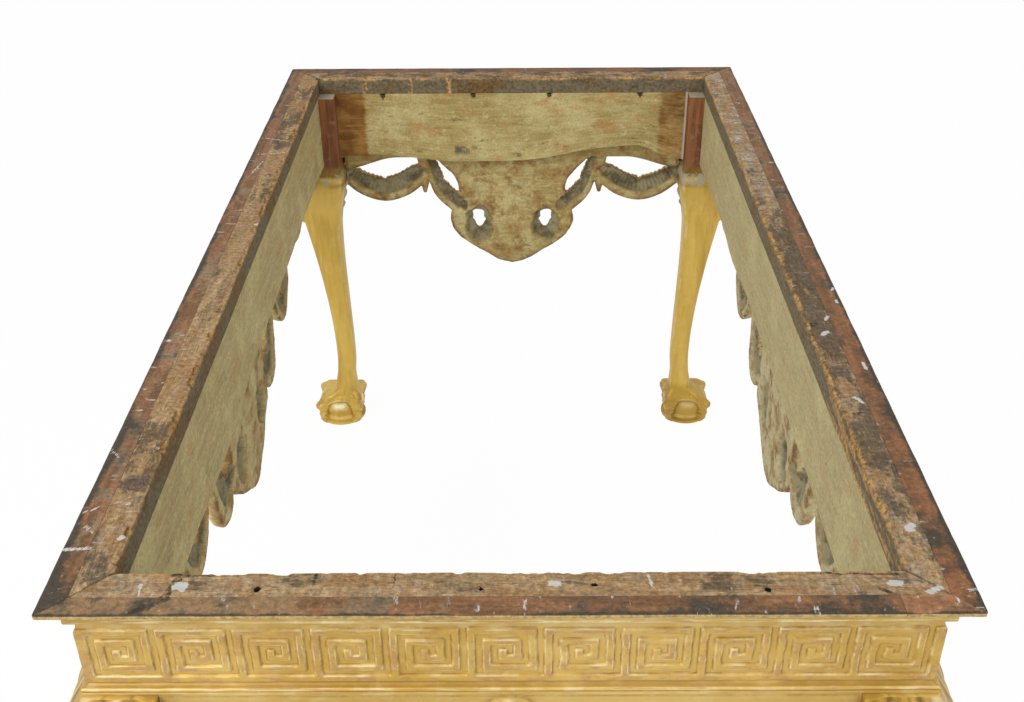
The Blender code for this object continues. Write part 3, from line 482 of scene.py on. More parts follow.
def washColour(tree, place, grain):
    look = washLook
    brush = cloud(tree, grain, 8.0, 9, (1, 11, 1), rough=0.70)
    patch = cloud(tree, place, 9.0, 7, rough=0.62)
    crackle = cloud(tree, grain, 22.0, 8, (1, 3.0, 1), rough=0.72)
    spots = cloud(tree, grain, 46.0, 6, (1, 1.6, 1), rough=0.70)
    damp = cloud(tree, grain, 12.0, 7, (1, 1.7, 1), rough=0.68)
    fine = cloud(tree, place, 210.0, 5, rough=0.75)
    # Pale chalk in spots by the chalkAndLight mark; on the left rail, which lies in shade, this pale coat is
    # a painted light
    chalkyAndLit = times(tree, mark(tree, "chalkAndLight"), between(tree, spots, 0.35, 0.60, 0.5, 1.0))
    colour = coats(tree, look["thin"], look,
                   ("wash", brush, 0.40, 0.60), ("pale", patch, 0.44, 0.64, 0, 0.85),
                   ("orange", crackle, 0.56, 0.72, 0, 0.55), ("orange", damp, 0.53, 0.63, 0, 0.60),
                   ("thin", damp, 0.33, 0.43, 0.45, 0), ("chip", spots, 0.36, 0.45, 0.55, 0),
                   ("crack", spots, 0.60, 0.70, 0, 0.6), ("crack", crackle, 0.35, 0.42, 0.6, 0),
                   ("chalkAndLight", chalkyAndLit))
    return dusted(tree, colour, fine, 0.78, 1.20), brush, patch, crackle


def washFinish():
    look = washLook
    material, tree, shader = newFinish("ochreWash")
    colour, brush, patch, crackle = washColour(tree, objectPlace(tree), grainPlace(tree))
    wood = coats(tree, look["bare"], look, ("bareLight", patch, 0.42, 0.58),
                 ("bare", crackle, 0.48, 0.62, 0, 0.8), ("orange", brush, 0.50, 0.64, 0, 0.6))
    worn = plus(tree, mark(tree, "bareWood"), offset(tree, crackle, 0.22))
    colour = coats(tree, colour, look, (wood, worn, 0.25, 0.80, 0, 0.95), ("grey", mark(tree, "recess")),
                   ("bare", mark(tree, "pocket")), ("plaster", mark(tree, "plaster")))
    dress(tree, shader, look, colour, between(tree, patch, 0.3, 0.7, 0.62, 0.85), plus(tree, brush, crackle))
    return material


# Aprons: gilt in front, rough washed wood behind with grey dirt in the hollows
apronPaint = {
    "grey": (0.310, 0.280, 0.175), "brown": (0.29, 0.165, 0.052), "dark": (0.095, 0.080, 0.048),
    "rim": (0.20, 0.110, 0.040), "plaster": (0.52, 0.46, 0.33),
    "gloss": 0.18, "dullness": 0.32, "bump": (0.0018, 0.6),
}


def apronFinish():
    look = apronPaint
    material, tree, shader = newFinish("apronGiltAndWash")
    place = objectPlace(tree)
    gold, bole, small, _ = giltColour(tree, place)
    wood, _, _, crackle = washColour(tree, place, grainPlace(tree))
    stains = cloud(tree, place, 28.0, 8, rough=0.72)
    rim = times(tree, mark(tree, "rimWood"), between(tree, small, 0.38, 0.58))
    grime = times(tree, mark(tree, "grime"), between(tree, small, 0.28, 0.72, 1.0, 0.7))
    dirt = coats(tree, look["dark"], look, ("grey", stains, 0.40, 0.60))
    wood = coats(tree, wood, look,
                 ("brown", stains, 0.47, 0.60, 0, 0.85), ("dark", stains, 0.58, 0.68, 0, 0.75),
                 ("plaster", stains, 0.30, 0.38, 0.55, 0), ("rim", rim), (dirt, grime))
    back = mark(tree, "behind")
    leaf = sums(tree, "SUBTRACT", 1.0, back)
    put(tree, times(tree, leafMetal(tree, bole, giltLook["metal"]), leaf), shader.inputs["Metallic"])
    rough = plus(tree, leafRoughness(tree, small), times(tree, back, look["dullness"]))
    gloss = plus(tree, times(tree, leaf, giltLook["gloss"]), look["gloss"])
    height = plus(tree, small, times(tree, crackle, 0.7))
    dress(tree, shader, look, blend(tree, back, gold, wood), rough, height, gloss)
    return material


# Legs: gilt, with a red-brown post inside the frame and a grey ledge below it; the ball is burnished, with a
# painted highlight on its top and a painted dark reflection across it, and painted shade under the post and
# down the sides of the leg
legPaint = {
    **giltLook,
    "leaf": (0.64, 0.435, 0.090), "deepLeaf": (0.44, 0.265, 0.035), "paleLeaf": (0.72, 0.53, 0.16),
    # hollow: the colour of the painted shade in the recesses; paintedHighlight: the pale colour of the
    # painted highlight on the ball
    "hollow": (0.17, 0.090, 0.020), "paintedHighlight": (1.0, 0.92, 0.66), "gesso": (0.42, 0.22, 0.09), "evenness": 0.6,
    "post": (0.150, 0.050, 0.018), "postLight": (0.30, 0.120, 0.045), "film": (0.27, 0.195, 0.125),
    "plaster": (0.41, 0.37, 0.265), "burnishMetal": 0.35, "burnishSmooth": 0.20, "woodDullness": 0.22,
}


def legFinish():
    look = legPaint
    material, tree, shader = newFinish("legGilding")
    place = objectPlace(tree)
    streak = cloud(tree, place, 14.0, 6, (4, 4, 0.35), rough=0.66)
    # Darker leaf from vertical streaks and from the toningAndShade mark, which carries painted shade and a
    # painted reflection as well as random tone
    tonedAndShaded = plus(tree, between(tree, streak, 0.35, 0.65, -0.2, 0.5), mark(tree, "toningAndShade"))
    gold, bole, small, fine = giltColour(tree, place, look, between(tree, tonedAndShaded, 0.05, 0.90, 0, 0.85))
    wood = coats(tree, look["post"], look, ("postLight", streak, 0.38, 0.62),
                 ("film", cloud(tree, place, 55.0, 5, rough=0.7), 0.54, 0.68, 0, 0.7))
    post, burnish = mark(tree, "bareWood"), mark(tree, "burnish")
    flaked = plus(tree, mark(tree, "plaster"), offset(tree, cloud(tree, place, 75.0, 6, rough=0.7), 0.45))
    plaster = between(tree, flaked, 0.35, 0.70, 0, 0.9)
    # The painted highlight on the ball goes on over the leaf
    colour = coats(tree, gold, look, ("paintedHighlight", mark(tree, "paintedHighlight")), (wood, post), ("plaster", plaster))
    leaf = sums(tree, "SUBTRACT", 1.0, sums(tree, "MAXIMUM", post, plaster))
    metal = times(tree, leafMetal(tree, bole, look["metal"]), leaf)
    put(tree, plus(tree, metal, times(tree, burnish, look["burnishMetal"])), shader.inputs["Metallic"])
    rough = plus(tree, leafRoughness(tree, small), times(tree, burnish, -look["burnishSmooth"]),
                 times(tree, post, look["woodDullness"]))
    dress(tree, shader, look, colour, rough, plus(tree, small, times(tree, fine, 0.4)))
    return material


ironLook = {"black": (0.055, 0.046, 0.040), "rust": (0.16, 0.075, 0.035), "gloss": 0.5, "bump": (0.0002, 0.6)}


def ironFinish():
    look = ironLook
    material, tree, shader = newFinish("oldIron")
    rust = cloud(tree, objectPlace(tree), 420.0, 4)
    put(tree, between(tree, rust, 0.4, 0.6, 0.85, 0.25), shader.inputs["Metallic"])
    colour = coats(tree, look["black"], look, ("rust", rust, 0.42, 0.62))
    dress(tree, shader, look, colour, between(tree, rust, 0.4, 0.6, 0.45, 0.8), rust)
    return material


gilt = giltFinish()
pine = pineFinish()
redBrown = stripFinish()
wash = washFinish()
apronGilt = apronFinish()
legGilt = legFinish()
iron = ironFinish()
print("finishes made")


# Marks on the seat, by place on the table: two ends of a stroke and half its width
seatMarks = {
    "filler": ((-0.3135, -0.738, -0.3125, -0.738, 0.0066), (0.041, -0.736, 0.045, -0.736, 0.0040),
               (0.366, -0.737, 0.370, -0.737, 0.0048), (0.397, -0.748, 0.408, -0.743, 0.0032),
               (0.402, -0.657, 0.406, -0.653, 0.0044), (-0.442, -0.685, -0.416, -0.683, 0.0019),
               (-0.439, -0.627, -0.427, -0.620, 0.0010), (-0.430, -0.650, -0.419, -0.660, 0.0010),
               (-0.442, -0.518, -0.429, -0.532, 0.0008), (0.439, -0.154, 0.436, -0.160, 0.0018),
               (0.435, -0.188, 0.436, -0.194, 0.0018), (0.433, -0.343, 0.434, -0.358, 0.0015),
               (0.404, -0.420, 0.411, -0.431, 0.0022), (-0.390, -0.667, -0.388, -0.665, 0.0034),
               (0.133, -0.722, 0.136, -0.740, 0.0011), (-0.352, -0.735, -0.350, -0.750, 0.0012),
               (0.399, -0.276, 0.405, -0.270, 0.0034), (0.410, -0.240, 0.415, -0.230, 0.0018),
               (-0.384, 0.055, -0.378, 0.058, 0.0040), (-0.431, 0.330, -0.385, 0.338, 0.0009),
               (-0.436, 0.405, -0.395, 0.392, 0.0009), (-0.428, 0.245, -0.418, 0.300, 0.0009)),
    "hole": ((-0.239, -0.741, -0.239, -0.741, 0.0032), (0.245, -0.744, 0.245, -0.744, 0.0032),
             (-0.027, -0.742, -0.027, -0.742, 0.0022), (0.081, -0.737, 0.081, -0.737, 0.0028)),
    "stain": ((-0.322, -0.722, -0.306, -0.722, 0.0040), (-0.317, -0.724, -0.324, -0.753, 0.0040),
              (-0.324, -0.753, -0.341, -0.769, 0.0052), (-0.334, -0.764, -0.350, -0.772, 0.0034),
              (-0.186, -0.721, -0.187, -0.738, 0.0013), (-0.110, -0.721, -0.110, -0.740, 0.0009),
              (-0.300, -0.722, -0.286, -0.722, 0.0025),
              (0.300, -0.722, 0.372, -0.724, 0.0020), (0.352, -0.746, 0.362, -0.752, 0.0022),
              (0.396, -0.455, 0.404, -0.452, 0.0026), (0.386, -0.256, 0.393, -0.250, 0.0040)),
    "knot": ((-0.400, -0.580, -0.396, -0.580, 0.0150),),
}


# How strongly each kind of mark shows at a place: 1 within its stroke, eased to 0 over a ragged rim
def seatMarkFields(side, along, inset):
    spot = onSide(side, along, inset, 0 * along)
    x, y = spot[..., 0], spot[..., 1]
    ragged = 1 + 0.9 * (softNoise(x / 0.005, y / 0.005, 3) - 0.5)
    fields = {}
    for kind, strokes in seatMarks.items():
        fields[kind] = np.zeros(along.shape)
        for x0, y0, x1, y1, half in strokes:
            run = max((x1 - x0) ** 2 + (y1 - y0) ** 2, 1e-12)
            share = np.clip(((x - x0) * (x1 - x0) + (y - y0) * (y1 - y0)) / run, 0, 1)
            out = np.hypot(x - x0 - share * (x1 - x0), y - y0 - share * (y1 - y0)) / half * ragged
            fields[kind] = np.maximum(fields[kind], 1 - eased(out, 0.75, 1.2))
    return fields


# A value that changes along a side, read from places on the table and the value at each
def alongTable(side, along, table):
    run = {"front": along, "right": along, "back": -along, "left": -along}[side]
    return np.interp(run, *zip(*table))


boardLook = {
    "step": 0.002, "sectionStep": 0.0022, "chipPitch": 0.016, "arris": 0.0040, "softArris": 0.0006,
    "chip": {"front": 0.0020, "right": 0.0070, "back": 0.0050, "left": 0.0105},
    "greyed": {"front": ((-0.44, 0.5), (0.10, 0.25), (0.44, 0.5)),
               "right": ((-0.78, 0.8), (-0.3, 1.0), (0.3, 1.0), (0.78, 0.8)),
               "back": ((-0.44, 0.7), (0.44, 0.7)),
               "left": ((-0.78, 0.35), (-0.64, 0.4), (-0.56, 0.2), (0.78, 0.3))},
    "soil": {"front": ((-0.44, -0.15), (-0.33, -0.08), (0.05, -0.06), (0.20, 0.12), (0.44, 0.05)),
             "right": ((-0.78, 0.08), (-0.62, 0.48), (-0.3, 0.85), (-0.05, 0.72), (0.3, -0.05),
                       (0.78, -0.28)),
             "back": ((-0.44, 0.24), (0.44, 0.24)),
             "left": ((-0.78, 0.0), (-0.64, 0.0), (-0.55, 0.06), (-0.42, -0.1), (-0.2, -0.30), (0.1, 0.05),
                      (0.78, 0.36))},
    "waver": 0.0012, "dish": 0.0009, "holeDepth": 0.004, "streaks": (-0.291, -0.201, -0.124),
    "mitreLine": 0.0016,
}


# Top board: a plain section whose inner arris is chipped, deepest where the noise along it is high
def topBoard(side):
    look = boardLook
    outer, inner, low, top = spanOf("top_board_left")
    section = fineLoop([(outer, top), (inner, top), (inner, low), (outer, low)], look["sectionStep"])
    seed = 40 + sideNames.index(side)

    def wear(along, inset, height):
        near = hump(np.hypot(inset - inner, height - top), 0, look["arris"])
        chip = np.clip(softNoise(along / look["chipPitch"], 0, seed, 4) - 0.50, 0, 0.3) / 0.3
        deep = look["chip"][side]
        innerFace = eased(inset, inner - 0.004, inner - 0.001)
        waver = look["waver"] * softNoise(along / 0.09, 1, seed + 1) * innerFace
        onTop = eased(height, top - 0.002, top - 0.0005)
        fields = seatMarkFields(side, along, inset)
        dish = look["dish"] * softNoise(along / 0.05, inset / 0.012, seed + 2, 4) * onTop
        newInset = inset - near * (look["softArris"] + deep * chip) - waver
        newHeight = height - near * (look["softArris"] + 0.5 * deep * chip) - dish
        newHeight = newHeight - look["holeDepth"] * fields["hole"] * onTop
        torn = np.zeros(along.shape)
        if side == "back":
            for place in look["streaks"]:
                torn = np.maximum(torn, np.exp(-((along + place) / 0.0045) ** 4))
            torn = torn * innerFace * eased(softNoise(along / 0.004, height / 0.008, seed + 3), 0.25, 0.5)
        if side == "right":
            nearEnd = 1 - eased(along, -0.55, -0.25)
            shreds = eased(softNoise(along / 0.06, height / 0.010, seed + 3, 4), 0.40, 0.56)
            torn = 0.85 * innerFace * nearEnd * shreds
        marks = {
            # inside: the inner faces below the top, which take the painted shade
            "inside": 1 - eased(height, top - 0.005, top - 0.002),
            "knot": 0.92 * fields["knot"] * onTop,
            "greyed": alongTable(side, along, look["greyed"][side]),
            "soil": alongTable(side, along, look["soil"][side])
                    + 0.9 * hump(halfSideOf(side) - np.abs(along), inset, look["mitreLine"]),
            "splinter": np.clip(np.maximum(near * (0.25 + 1.7 * chip) * 1.2, torn), 0, 1),
            "filler": 0.9 * fields["filler"] * onTop,
            "stain": 0.92 * fields["stain"] * onTop,
            "hole": fields["hole"] * onTop,
        }
        return along, newInset, newHeight, marks

    piece = mitredBar("topBoard_" + side, side, section, look["step"], wear)
    settle(piece, "top_board_" + side, pine)


stripTrim = {
    "step": 0.0025, "sectionStep": 0.0022, "nose": 0.003, "dent": 0.0014, "rough": 0.0008,
    "grimeReach": {"front": 0.0045, "right": 0.009, "back": 0.012, "left": 0.014},
    "cornerRound": 0.006, "nearSetBack": 0.0022,
    "bleach": {"front": ((-0.44, 1.0), (-0.24, 0.9), (-0.08, 0.15), (0.44, 0.0)),
               "right": ((-0.78, -0.8), (-0.1, -0.3), (0.5, 0.45), (0.78, 0.45)),
               "back": ((-0.44, -0.7), (0.44, -0.7)),
               "left": ((-0.78, 0.15), (-0.5, 0.25), (-0.2, 0.2), (0.78, 0.3))},
    "dirt": {"front": ((-0.44, 0.45), (-0.20, 0.36), (-0.02, 0.05), (0.10, 0.55), (0.355, 0.75), (0.37, 0.1),
                       (0.44, 0.1)),
             "right": ((-0.78, 0.42), (-0.5, 0.34), (0.2, 0.26), (0.78, 0.08)),
             "back": ((-0.44, 0.52), (0.44, 0.52)),
             "left": ((-0.78, 0.80), (-0.72, 0.60), (-0.66, 0.0), (-0.55, 0.15), (-0.48, 0.35),
                      (-0.38, -0.05), (0.1, 0.05), (0.78, 0.15))},
}


# Edge strip: flat, with a nose of two quarter rounds that is dented along its length and round at the corners
def edgeStrip(side, name, node, start=None, stop=None):
    look = stripTrim
    _, inner, low, top = spanOf("edge_strip_left")
    nose = look["nose"]
    turn = np.radians(np.linspace(0, 90, 5))
    upper = np.stack([nose - nose * np.cos(turn), top - nose + nose * np.sin(turn)], axis=1)
    lower = np.stack([nose - nose * np.sin(turn), low + nose - nose * np.cos(turn)], axis=1)
    corners = [*upper, (inner, top), (inner, low), *lower[:-1], (0, low + nose)]
    section = fineLoop(corners, look["sectionStep"])
    seed = 60 + sideNames.index(side)
    half = halfSideOf(side)

    def wear(along, inset, height):
        atNose = 1 - eased(inset, 0.0, 0.006)
        dent = look["dent"] * np.clip(softNoise(along / 0.035, 0, seed, 4) - 0.35, 0, 1) * atNose
        onTop = eased(height, top - 0.002, top - 0.0005)
        rough = look["rough"] * softNoise(along / 0.04, inset / 0.012, seed + 1, 4) * onTop
        fields = seatMarkFields(side, along, inset)
        toNose = 1 - eased(inset, 0.0, look["grimeReach"][side])
        marks = {
            "grime": toNose + alongTable(side, along, look["dirt"][side]),
            "bleach": alongTable(side, along, look["bleach"][side]),
            "repair": np.full(along.shape, 0.85 * float(node == "edge_strip_patch")),
            "filler": 0.9 * fields["filler"] * onTop,
            "stain": 0.85 * fields["stain"] * onTop,
            "giltNose": float(side == "front") * (1 - eased(height, top - 0.0022, top - 0.0008)),
        }
        # corner: points outside a circle in the corner are drawn in to it
        curve = look["cornerRound"]
        toEnd = half - np.abs(along)
        out = np.hypot(np.clip(curve - inset, 0, None), np.clip(curve - toEnd, 0, None))
        pull = np.where((inset < curve) & (toEnd < curve) & (out > curve), curve / np.maximum(out, 1e-9), 1)
        newInset = curve - (curve - inset) * pull + dent
        newAlong = np.sign(along) * (half - curve + (curve - toEnd) * pull)
        # the near edge stands back a little, on the near strip and on the ends of its neighbours
        setBack = look["nearSetBack"] * (1 - eased(inset if side == "front" else toEnd, 0.003, 0.012))
        if side == "front":
            newInset = newInset + setBack
        elif side != "back":
            nearEnd = 1 if side == "left" else -1
            newAlong = newAlong - nearEnd * setBack * (np.sign(along) == nearEnd)
        return newAlong, newInset, height - rough, marks

    piece = mitredBar(name, side, section, look["step"], wear, start, stop)
    settle(piece, node, redBrown)


mouldLook = {
    "step": {"front": 0.004, "right": 0.006, "back": 0.004, "left": 0.006}, "sectionStep": 0.0015,
    "dent": 0.0007, "ogee": 0.0057, "friezeGap": 0.0007,
    "fillet": 0.0035, "groove": 0.0018, "lip": 0.0009, "ground": 0.0052,
}


# A gilt moulding: crest says how proud each height stands, +1 for an edge, worn pale with a painted
# highlight, and -1 for a groove, dark with a painted shade
def giltMoulding(side, name, node, corners, crest):
    look = mouldLook
    section = fineLoop(corners, look["sectionStep"])
    seed = 80 + sideNames.index(side) + 10 * len(corners)

    def wear(along, inset, height):
        proud = np.interp(height, *crest)
        worn = softNoise(along / 0.05, height / 0.006, seed, 4)
        dent = look["dent"] * np.clip(worn - 0.45, 0, 1) * np.clip(proud, 0, 1)
        broken = eased(softNoise(along / 0.045, height / 0.0016, seed + 7, 3), 0.50, 0.62)
        red = np.clip(0.6 + proud, 0, 1) * broken
        marks = {
            "edge": np.clip(proud, 0, 1) * eased(worn, 0.18, 0.42) * (1 - 0.9 * red),
            "ridge": red,
            "hollow": np.clip(-proud, 0, 1) * eased(worn, 0.2, 0.5),
        }
        return along, inset + dent, height, marks

    piece = mitredBar(name, side, section, look["step"][side], wear)
    settle(piece, node, gilt)


# Cornice: a tall fillet above a small ogee, the cubic 3s^2 - 2s^3 in to the frieze
def cornice(side):
    outer, inner, low, top = spanOf("cornice_mould_left")
    turn = low + mouldLook["ogee"]
    foot = spanOf("fret_frieze_left")[0] - mouldLook["friezeGap"]
    share = np.linspace(0, 1, 11)
    ogee = np.stack([mixed(outer, foot, eased(share, 0, 1)), mixed(turn, low, share)], axis=1)
    # Up from the turn the fillet is pale, a painted light in the shade under the strip's nose, with one dark
    # line across it
    aboveTurn = turn + np.array((-0.0015, 0, 0.0025, 0.004, 0.0055, 0.009))
    crest = ([low, low + 0.002, *aboveTurn, top], [-0.3, 0.0, 0.6, 1.0, 1.0, -0.4, 1.0, 1.0, 1.0])
    giltMoulding(side, "corniceMould_" + side, "cornice_mould_" + side,
                 [(inner, top), (outer, top), *ogee, (inner, low)], crest)


# Base moulding: quarter hollow, bead, groove and fillet
def baseMould(side):
    outer, inner, low, top = spanOf("base_mould_left")
    look = mouldLook
    foot = low + look["fillet"]
    bead = (top - foot) / 4
    middle = outer + bead
    turn = np.radians(np.linspace(0, -90, 8))
    hollow = np.stack([middle + (inner - look["ground"] - middle) * np.cos(turn),
                       top + (top - foot - 2 * bead) * np.sin(turn)], axis=1)
    swing = np.radians(np.linspace(100, 250, 9))
    beading = np.stack([middle + bead * np.cos(swing), foot + bead + bead * np.sin(swing)], axis=1)
    corners = [(inner, top), *hollow, *beading, (outer + look["groove"], foot), (outer, foot - look["lip"]),
               (outer, low), (inner, low)]
    overBead = foot + bead * np.array((0, 0.3, 1.0, 1.8, 2.1))
    crest = ([low, foot - 0.001, *overBead, top - 0.003, top],
             [0.3, 0.3, -1.0, 0.1, 0.6, 0.6, -0.5, -0.7, -0.2])
    giltMoulding(side, "baseMould_" + side, "base_mould_" + side, corners, crest)


for side in sideNames:
    topBoard(side)
    cornice(side)
    baseMould(side)
    if side != "front":
        edgeStrip(side, "edgeStrip_" + side, "edge_strip_" + side)
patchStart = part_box("edge_strip_patch")[0].x
edgeStrip("front", "edgeStrip_front", "edge_strip_front", stop=patchStart - 2 * mitreGap)
edgeStrip("front", "edgeStripPatch", "edge_strip_patch", start=patchStart)
print("seat and mouldings made")


fretLook = {
    "perCell": {"front": 6, "right": 5, "back": 6, "left": 5}, "waver": 2.2, "dip": 0.0003,
    "height": 0.0687, "cell": 0.0075, "relief": 0.0027, "sunk": 0.0004, "setBack": 0.002,
    "unit": ("#########.", "#.......#.", "#.#####.#.", "#.#...#.#.", "#.#.#.#.#.",
             "#.#.###.#.", "#.#.....#.", "#.#######.", "#.........", "##########"),
}


# Average of each point with its neighbours, once along each axis for every pass
def softened(field, passes):
    for _ in range(passes):
        wide = np.pad(field, 1, mode="edge")
        field = (wide[:-2, 1:-1] + 2 * field + wide[2:, 1:-1]) / 4
        wide = np.pad(field, 1, mode="edge")
        field = (wide[1:-1, :-2] + 2 * field + wide[1:-1, 2:]) / 4
    return field


# The field read at places moved by the given numbers of rows and columns, in proportion between its points
def shifted(field, rows, columns):
    down, across = np.indices(field.shape)
    down = np.clip(down + rows, 0, field.shape[0] - 1.001)
    across = np.clip(across + columns, 0, field.shape[1] - 1.001)
    i, j = down.astype(int), across.astype(int)
    a, b = down - i, across - j
    upper = field[i, j] * (1 - b) + field[i, j + 1] * b
    return upper * (1 - a) + (field[i + 1, j] * (1 - b) + field[i + 1, j + 1] * b) * a


# Key fret: the unit repeated along the side and softened, standing proud of the ground by its relief
def fretFrieze(side):
    look = fretLook
    outer, inner, low, top = spanOf("fret_frieze_left")
    half = halfSideOf(side) - outer - look["setBack"] - mitreGap
    ground = outer + look["setBack"] + look["sunk"]
    unit = np.array([[c == "#" for c in line] for line in look["unit"][::-1]], float)
    rows, columns = unit.shape
    units = round((2 * half / look["cell"] - 1) / columns)
    pattern = np.hstack([np.tile(unit, (1, units)), np.ones((rows, 1))])
    per = look["perCell"][side]
    fine = np.kron(pattern, np.ones((per, per)))
    pitch = look["height"] / rows / per
    plain = max(3, int((top - low - look["height"]) / pitch))
    fine = np.vstack([fine, np.zeros((plain, fine.shape[1]))])
    seed = 120 + sideNames.index(side)
    down, across = np.indices(fine.shape)
    handCut = [look["waver"] * (softNoise(across / 22, down / 13, seed + k, 3) - 0.5) for k in (5, 6)]
    crisp, spread, fine = (shifted(softened(fine, passes), *handCut) for passes in (1, 2, 0))
    along = (np.arange(fine.shape[1]) + 0.5) * (2 * half / pattern.shape[1] / per) - half
    height = low + (np.arange(fine.shape[0]) + 0.5) * pitch
    height[0], height[-1] = low, top
    x, z = np.meshgrid(along, height)
    worn = softNoise(x / 0.020, z / 0.012, seed, 4)
    proud = eased(crisp, 0.10, 0.90) * (1 - 0.22 * eased(worn, 0.55, 0.80))
    dips = look["dip"] * (softNoise(x / 0.006, z / 0.006, seed + 1) - 0.5)
    inset = ground - look["relief"] * proud + dips
    rubbedHighlight = eased(softNoise(x / 0.03, z / 0.010, seed + 2, 4), 0.34, 0.58)
    atRim = fine * eased(1 - spread, 0.08, 0.30)
    # ridge: bole on the worn tops; edge: the rims of the ridges worn pale with a painted highlight, and the
    # plain band above the fret made paler as a painted light in the shade under the cornice; hollow: a
    # painted shade along the feet of the ridges
    marks = {
        "ridge": fine * (1 - 0.6 * atRim) * eased(worn, 0.28, 0.54),
        "edge": np.maximum(atRim * rubbedHighlight, 0.30 * (z > low + look["height"]) * rubbedHighlight),
        "hollow": (1 - fine) * eased(spread, 0.05, 0.25) * (0.30 + 0.70 * eased(worn, 0.3, 0.6)),
    }
    reach = halfSideOf(side) - inset - mitreGap
    x[:, 0], x[:, -1] = -reach[:, 0], reach[:, -1]
    # a ring of points on the back closes the board
    count = np.arange(fine.size).reshape(fine.shape)
    ringed = np.pad(count, 1, mode="edge")
    border = np.pad(np.zeros(fine.shape, bool), 1, constant_values=True)
    ends = np.zeros(border.shape, bool)
    ends[:, [0, -1]] = True
    newInset = np.where(border, inner, inset.ravel()[ringed])
    newAlong = x.ravel()[ringed]
    newAlong = np.where(ends, np.sign(newAlong) * (halfSideOf(side) - inner - mitreGap), newAlong)
    newHeight = z.ravel()[ringed]
    index = np.arange(border.size).reshape(border.shape)
    loop = np.concatenate([index[0, :-1], index[:-1, -1], index[-1, :0:-1], index[:0:-1, 0]])
    points = onSide(side, newAlong, newInset, newHeight)
    grain = np.stack([newAlong, newHeight], axis=-1)
    marks = {key: values.ravel()[ringed] for key, values in marks.items()}
    piece = makePiece("fretFrieze_" + side, points, gridFaces(*border.shape), [loop[::-1]], grain, marks)
    settle(piece, "fret_frieze_" + side, gilt)


for side in sideNames:
    fretFrieze(side)
print("frets made")


railLook = {
    "step": {"front": 0.0025, "right": 0.006, "back": 0.0025, "left": 0.006}, "sectionStep": 0.005,
    "lift": 0.014, "bareEnd": 0.058, "ripple": 0.0012, "sawMark": 0.0012, "recessDepth": 0.003,
    "pocketDepth": 0.010, "pocketHalf": (0.0065, 0.0085), "recess": (-0.101, 0.6585, 0.013, 0.0075),
    "sawnEdge": ((-0.352, 0.644), (-0.290, 0.650), (-0.260, 0.650), (-0.190, 0.642), (-0.140, 0.636),
                 (-0.040, 0.635), (0.035, 0.638), (0.098, 0.648), (0.157, 0.660), (0.227, 0.667),
                 (0.250, 0.668), (0.275, 0.663), (0.305, 0.649), (0.332, 0.641), (0.352, 0.637)),
}


# Rail: a planed board whose sawn lower edge rises and falls, with pockets for the screws on the short ones
def rail(side):
    look = railLook
    outer, inner, low, top = spanOf("rail_left")
    half = halfSideOf(side) - outer - postSide - railGap
    section = fineLoop([(inner, top), (inner, low), (outer, low), (outer, top)], look["sectionStep"])
    seed = 160 + sideNames.index(side)
    screws = [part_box(f"pocket_screw_{side}_{n}") for n in range(1, 5)] if side in ("front", "back") else []
    turn = -1 if side == "back" else 1
    places = [turn * (a.x + b.x) / 2 for a, b in screws]
    sawn = smoothCurve(look["sawnEdge"], 80)

    def wear(along, inset, height):
        share = np.clip(along / half, -1, 1)
        lift = look["lift"] * (1 - share ** 4) * eased(softNoise(along / 0.26, 0, seed, 2), 0.25, 0.75)
        if side == "back":
            lift = np.interp(-along, sawn[:, 0], sawn[:, 1]) - low
        lift = lift + look["sawMark"] * (softNoise(along / 0.02, 0, seed + 3) - 0.5)
        newHeight = top - (top - height) * (1 - lift / (top - low))
        onFace = eased(inset, inner - 0.004, inner - 0.001)
        ripple = look["ripple"] * softNoise(along / 0.10, height / 0.012, seed + 1, 4) * onFace
        pocket = np.zeros(along.shape)
        for place in places:
            wide, tall = look["pocketHalf"]
            out = np.abs(along - place) / wide + np.clip(top - height - 0.001, 0, None) / (1.6 * tall)
            pocket = np.maximum(pocket, 1 - eased(out, 0.45, 1.05))
        pocket = pocket * eased(inset, inner - 0.012, inner - 0.002)
        x, z, wide, tall = look["recess"]
        out = np.maximum(np.abs(turn * along - x) / wide, np.abs(newHeight - z) / tall)
        recess = eased(1.25 - out, 0, 0.25)
        worn = eased(softNoise(along / 0.005, height / 0.004, seed + 4), 0.22, 0.50)
        recess = recess * onFace * worn * (side == "back")
        newInset = inset - ripple - look["pocketDepth"] * pocket - look["recessDepth"] * recess
        bare = eased(np.abs(along), half - look["bareEnd"] - 0.012, half - look["bareEnd"] + 0.012)
        marks = {
            "bareWood": bare * (side in ("front", "back")) * np.where(along < 0, 0.62, 1.0),
            "pocket": eased(pocket, 0.2, 0.7),
            "recess": recess,
            # pale over the whole board: chalk on the right rail, and a painted light on the shaded left rail
            "chalkAndLight": np.full(along.shape, {"right": 0.5, "left": 0.25}.get(side, 0.0)),
            "plaster": 0.8 * float(side == "back") * eased(-along, half - 0.0045, half - 0.0025),
        }
        return along, newInset, newHeight, marks

    piece = mitredBar("railBoard_" + side, side, section, look["step"][side], wear, -half, half)
    settle(piece, "rail_" + side, wash)


for side in sideNames:
    rail(side)
for side in ("front", "back"):
    for number in range(1, 5):
        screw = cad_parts[f"pocket_screw_{side}_{number}"]
        screw.data.materials.clear()
        screw.data.materials.append(iron)
print("rails made")


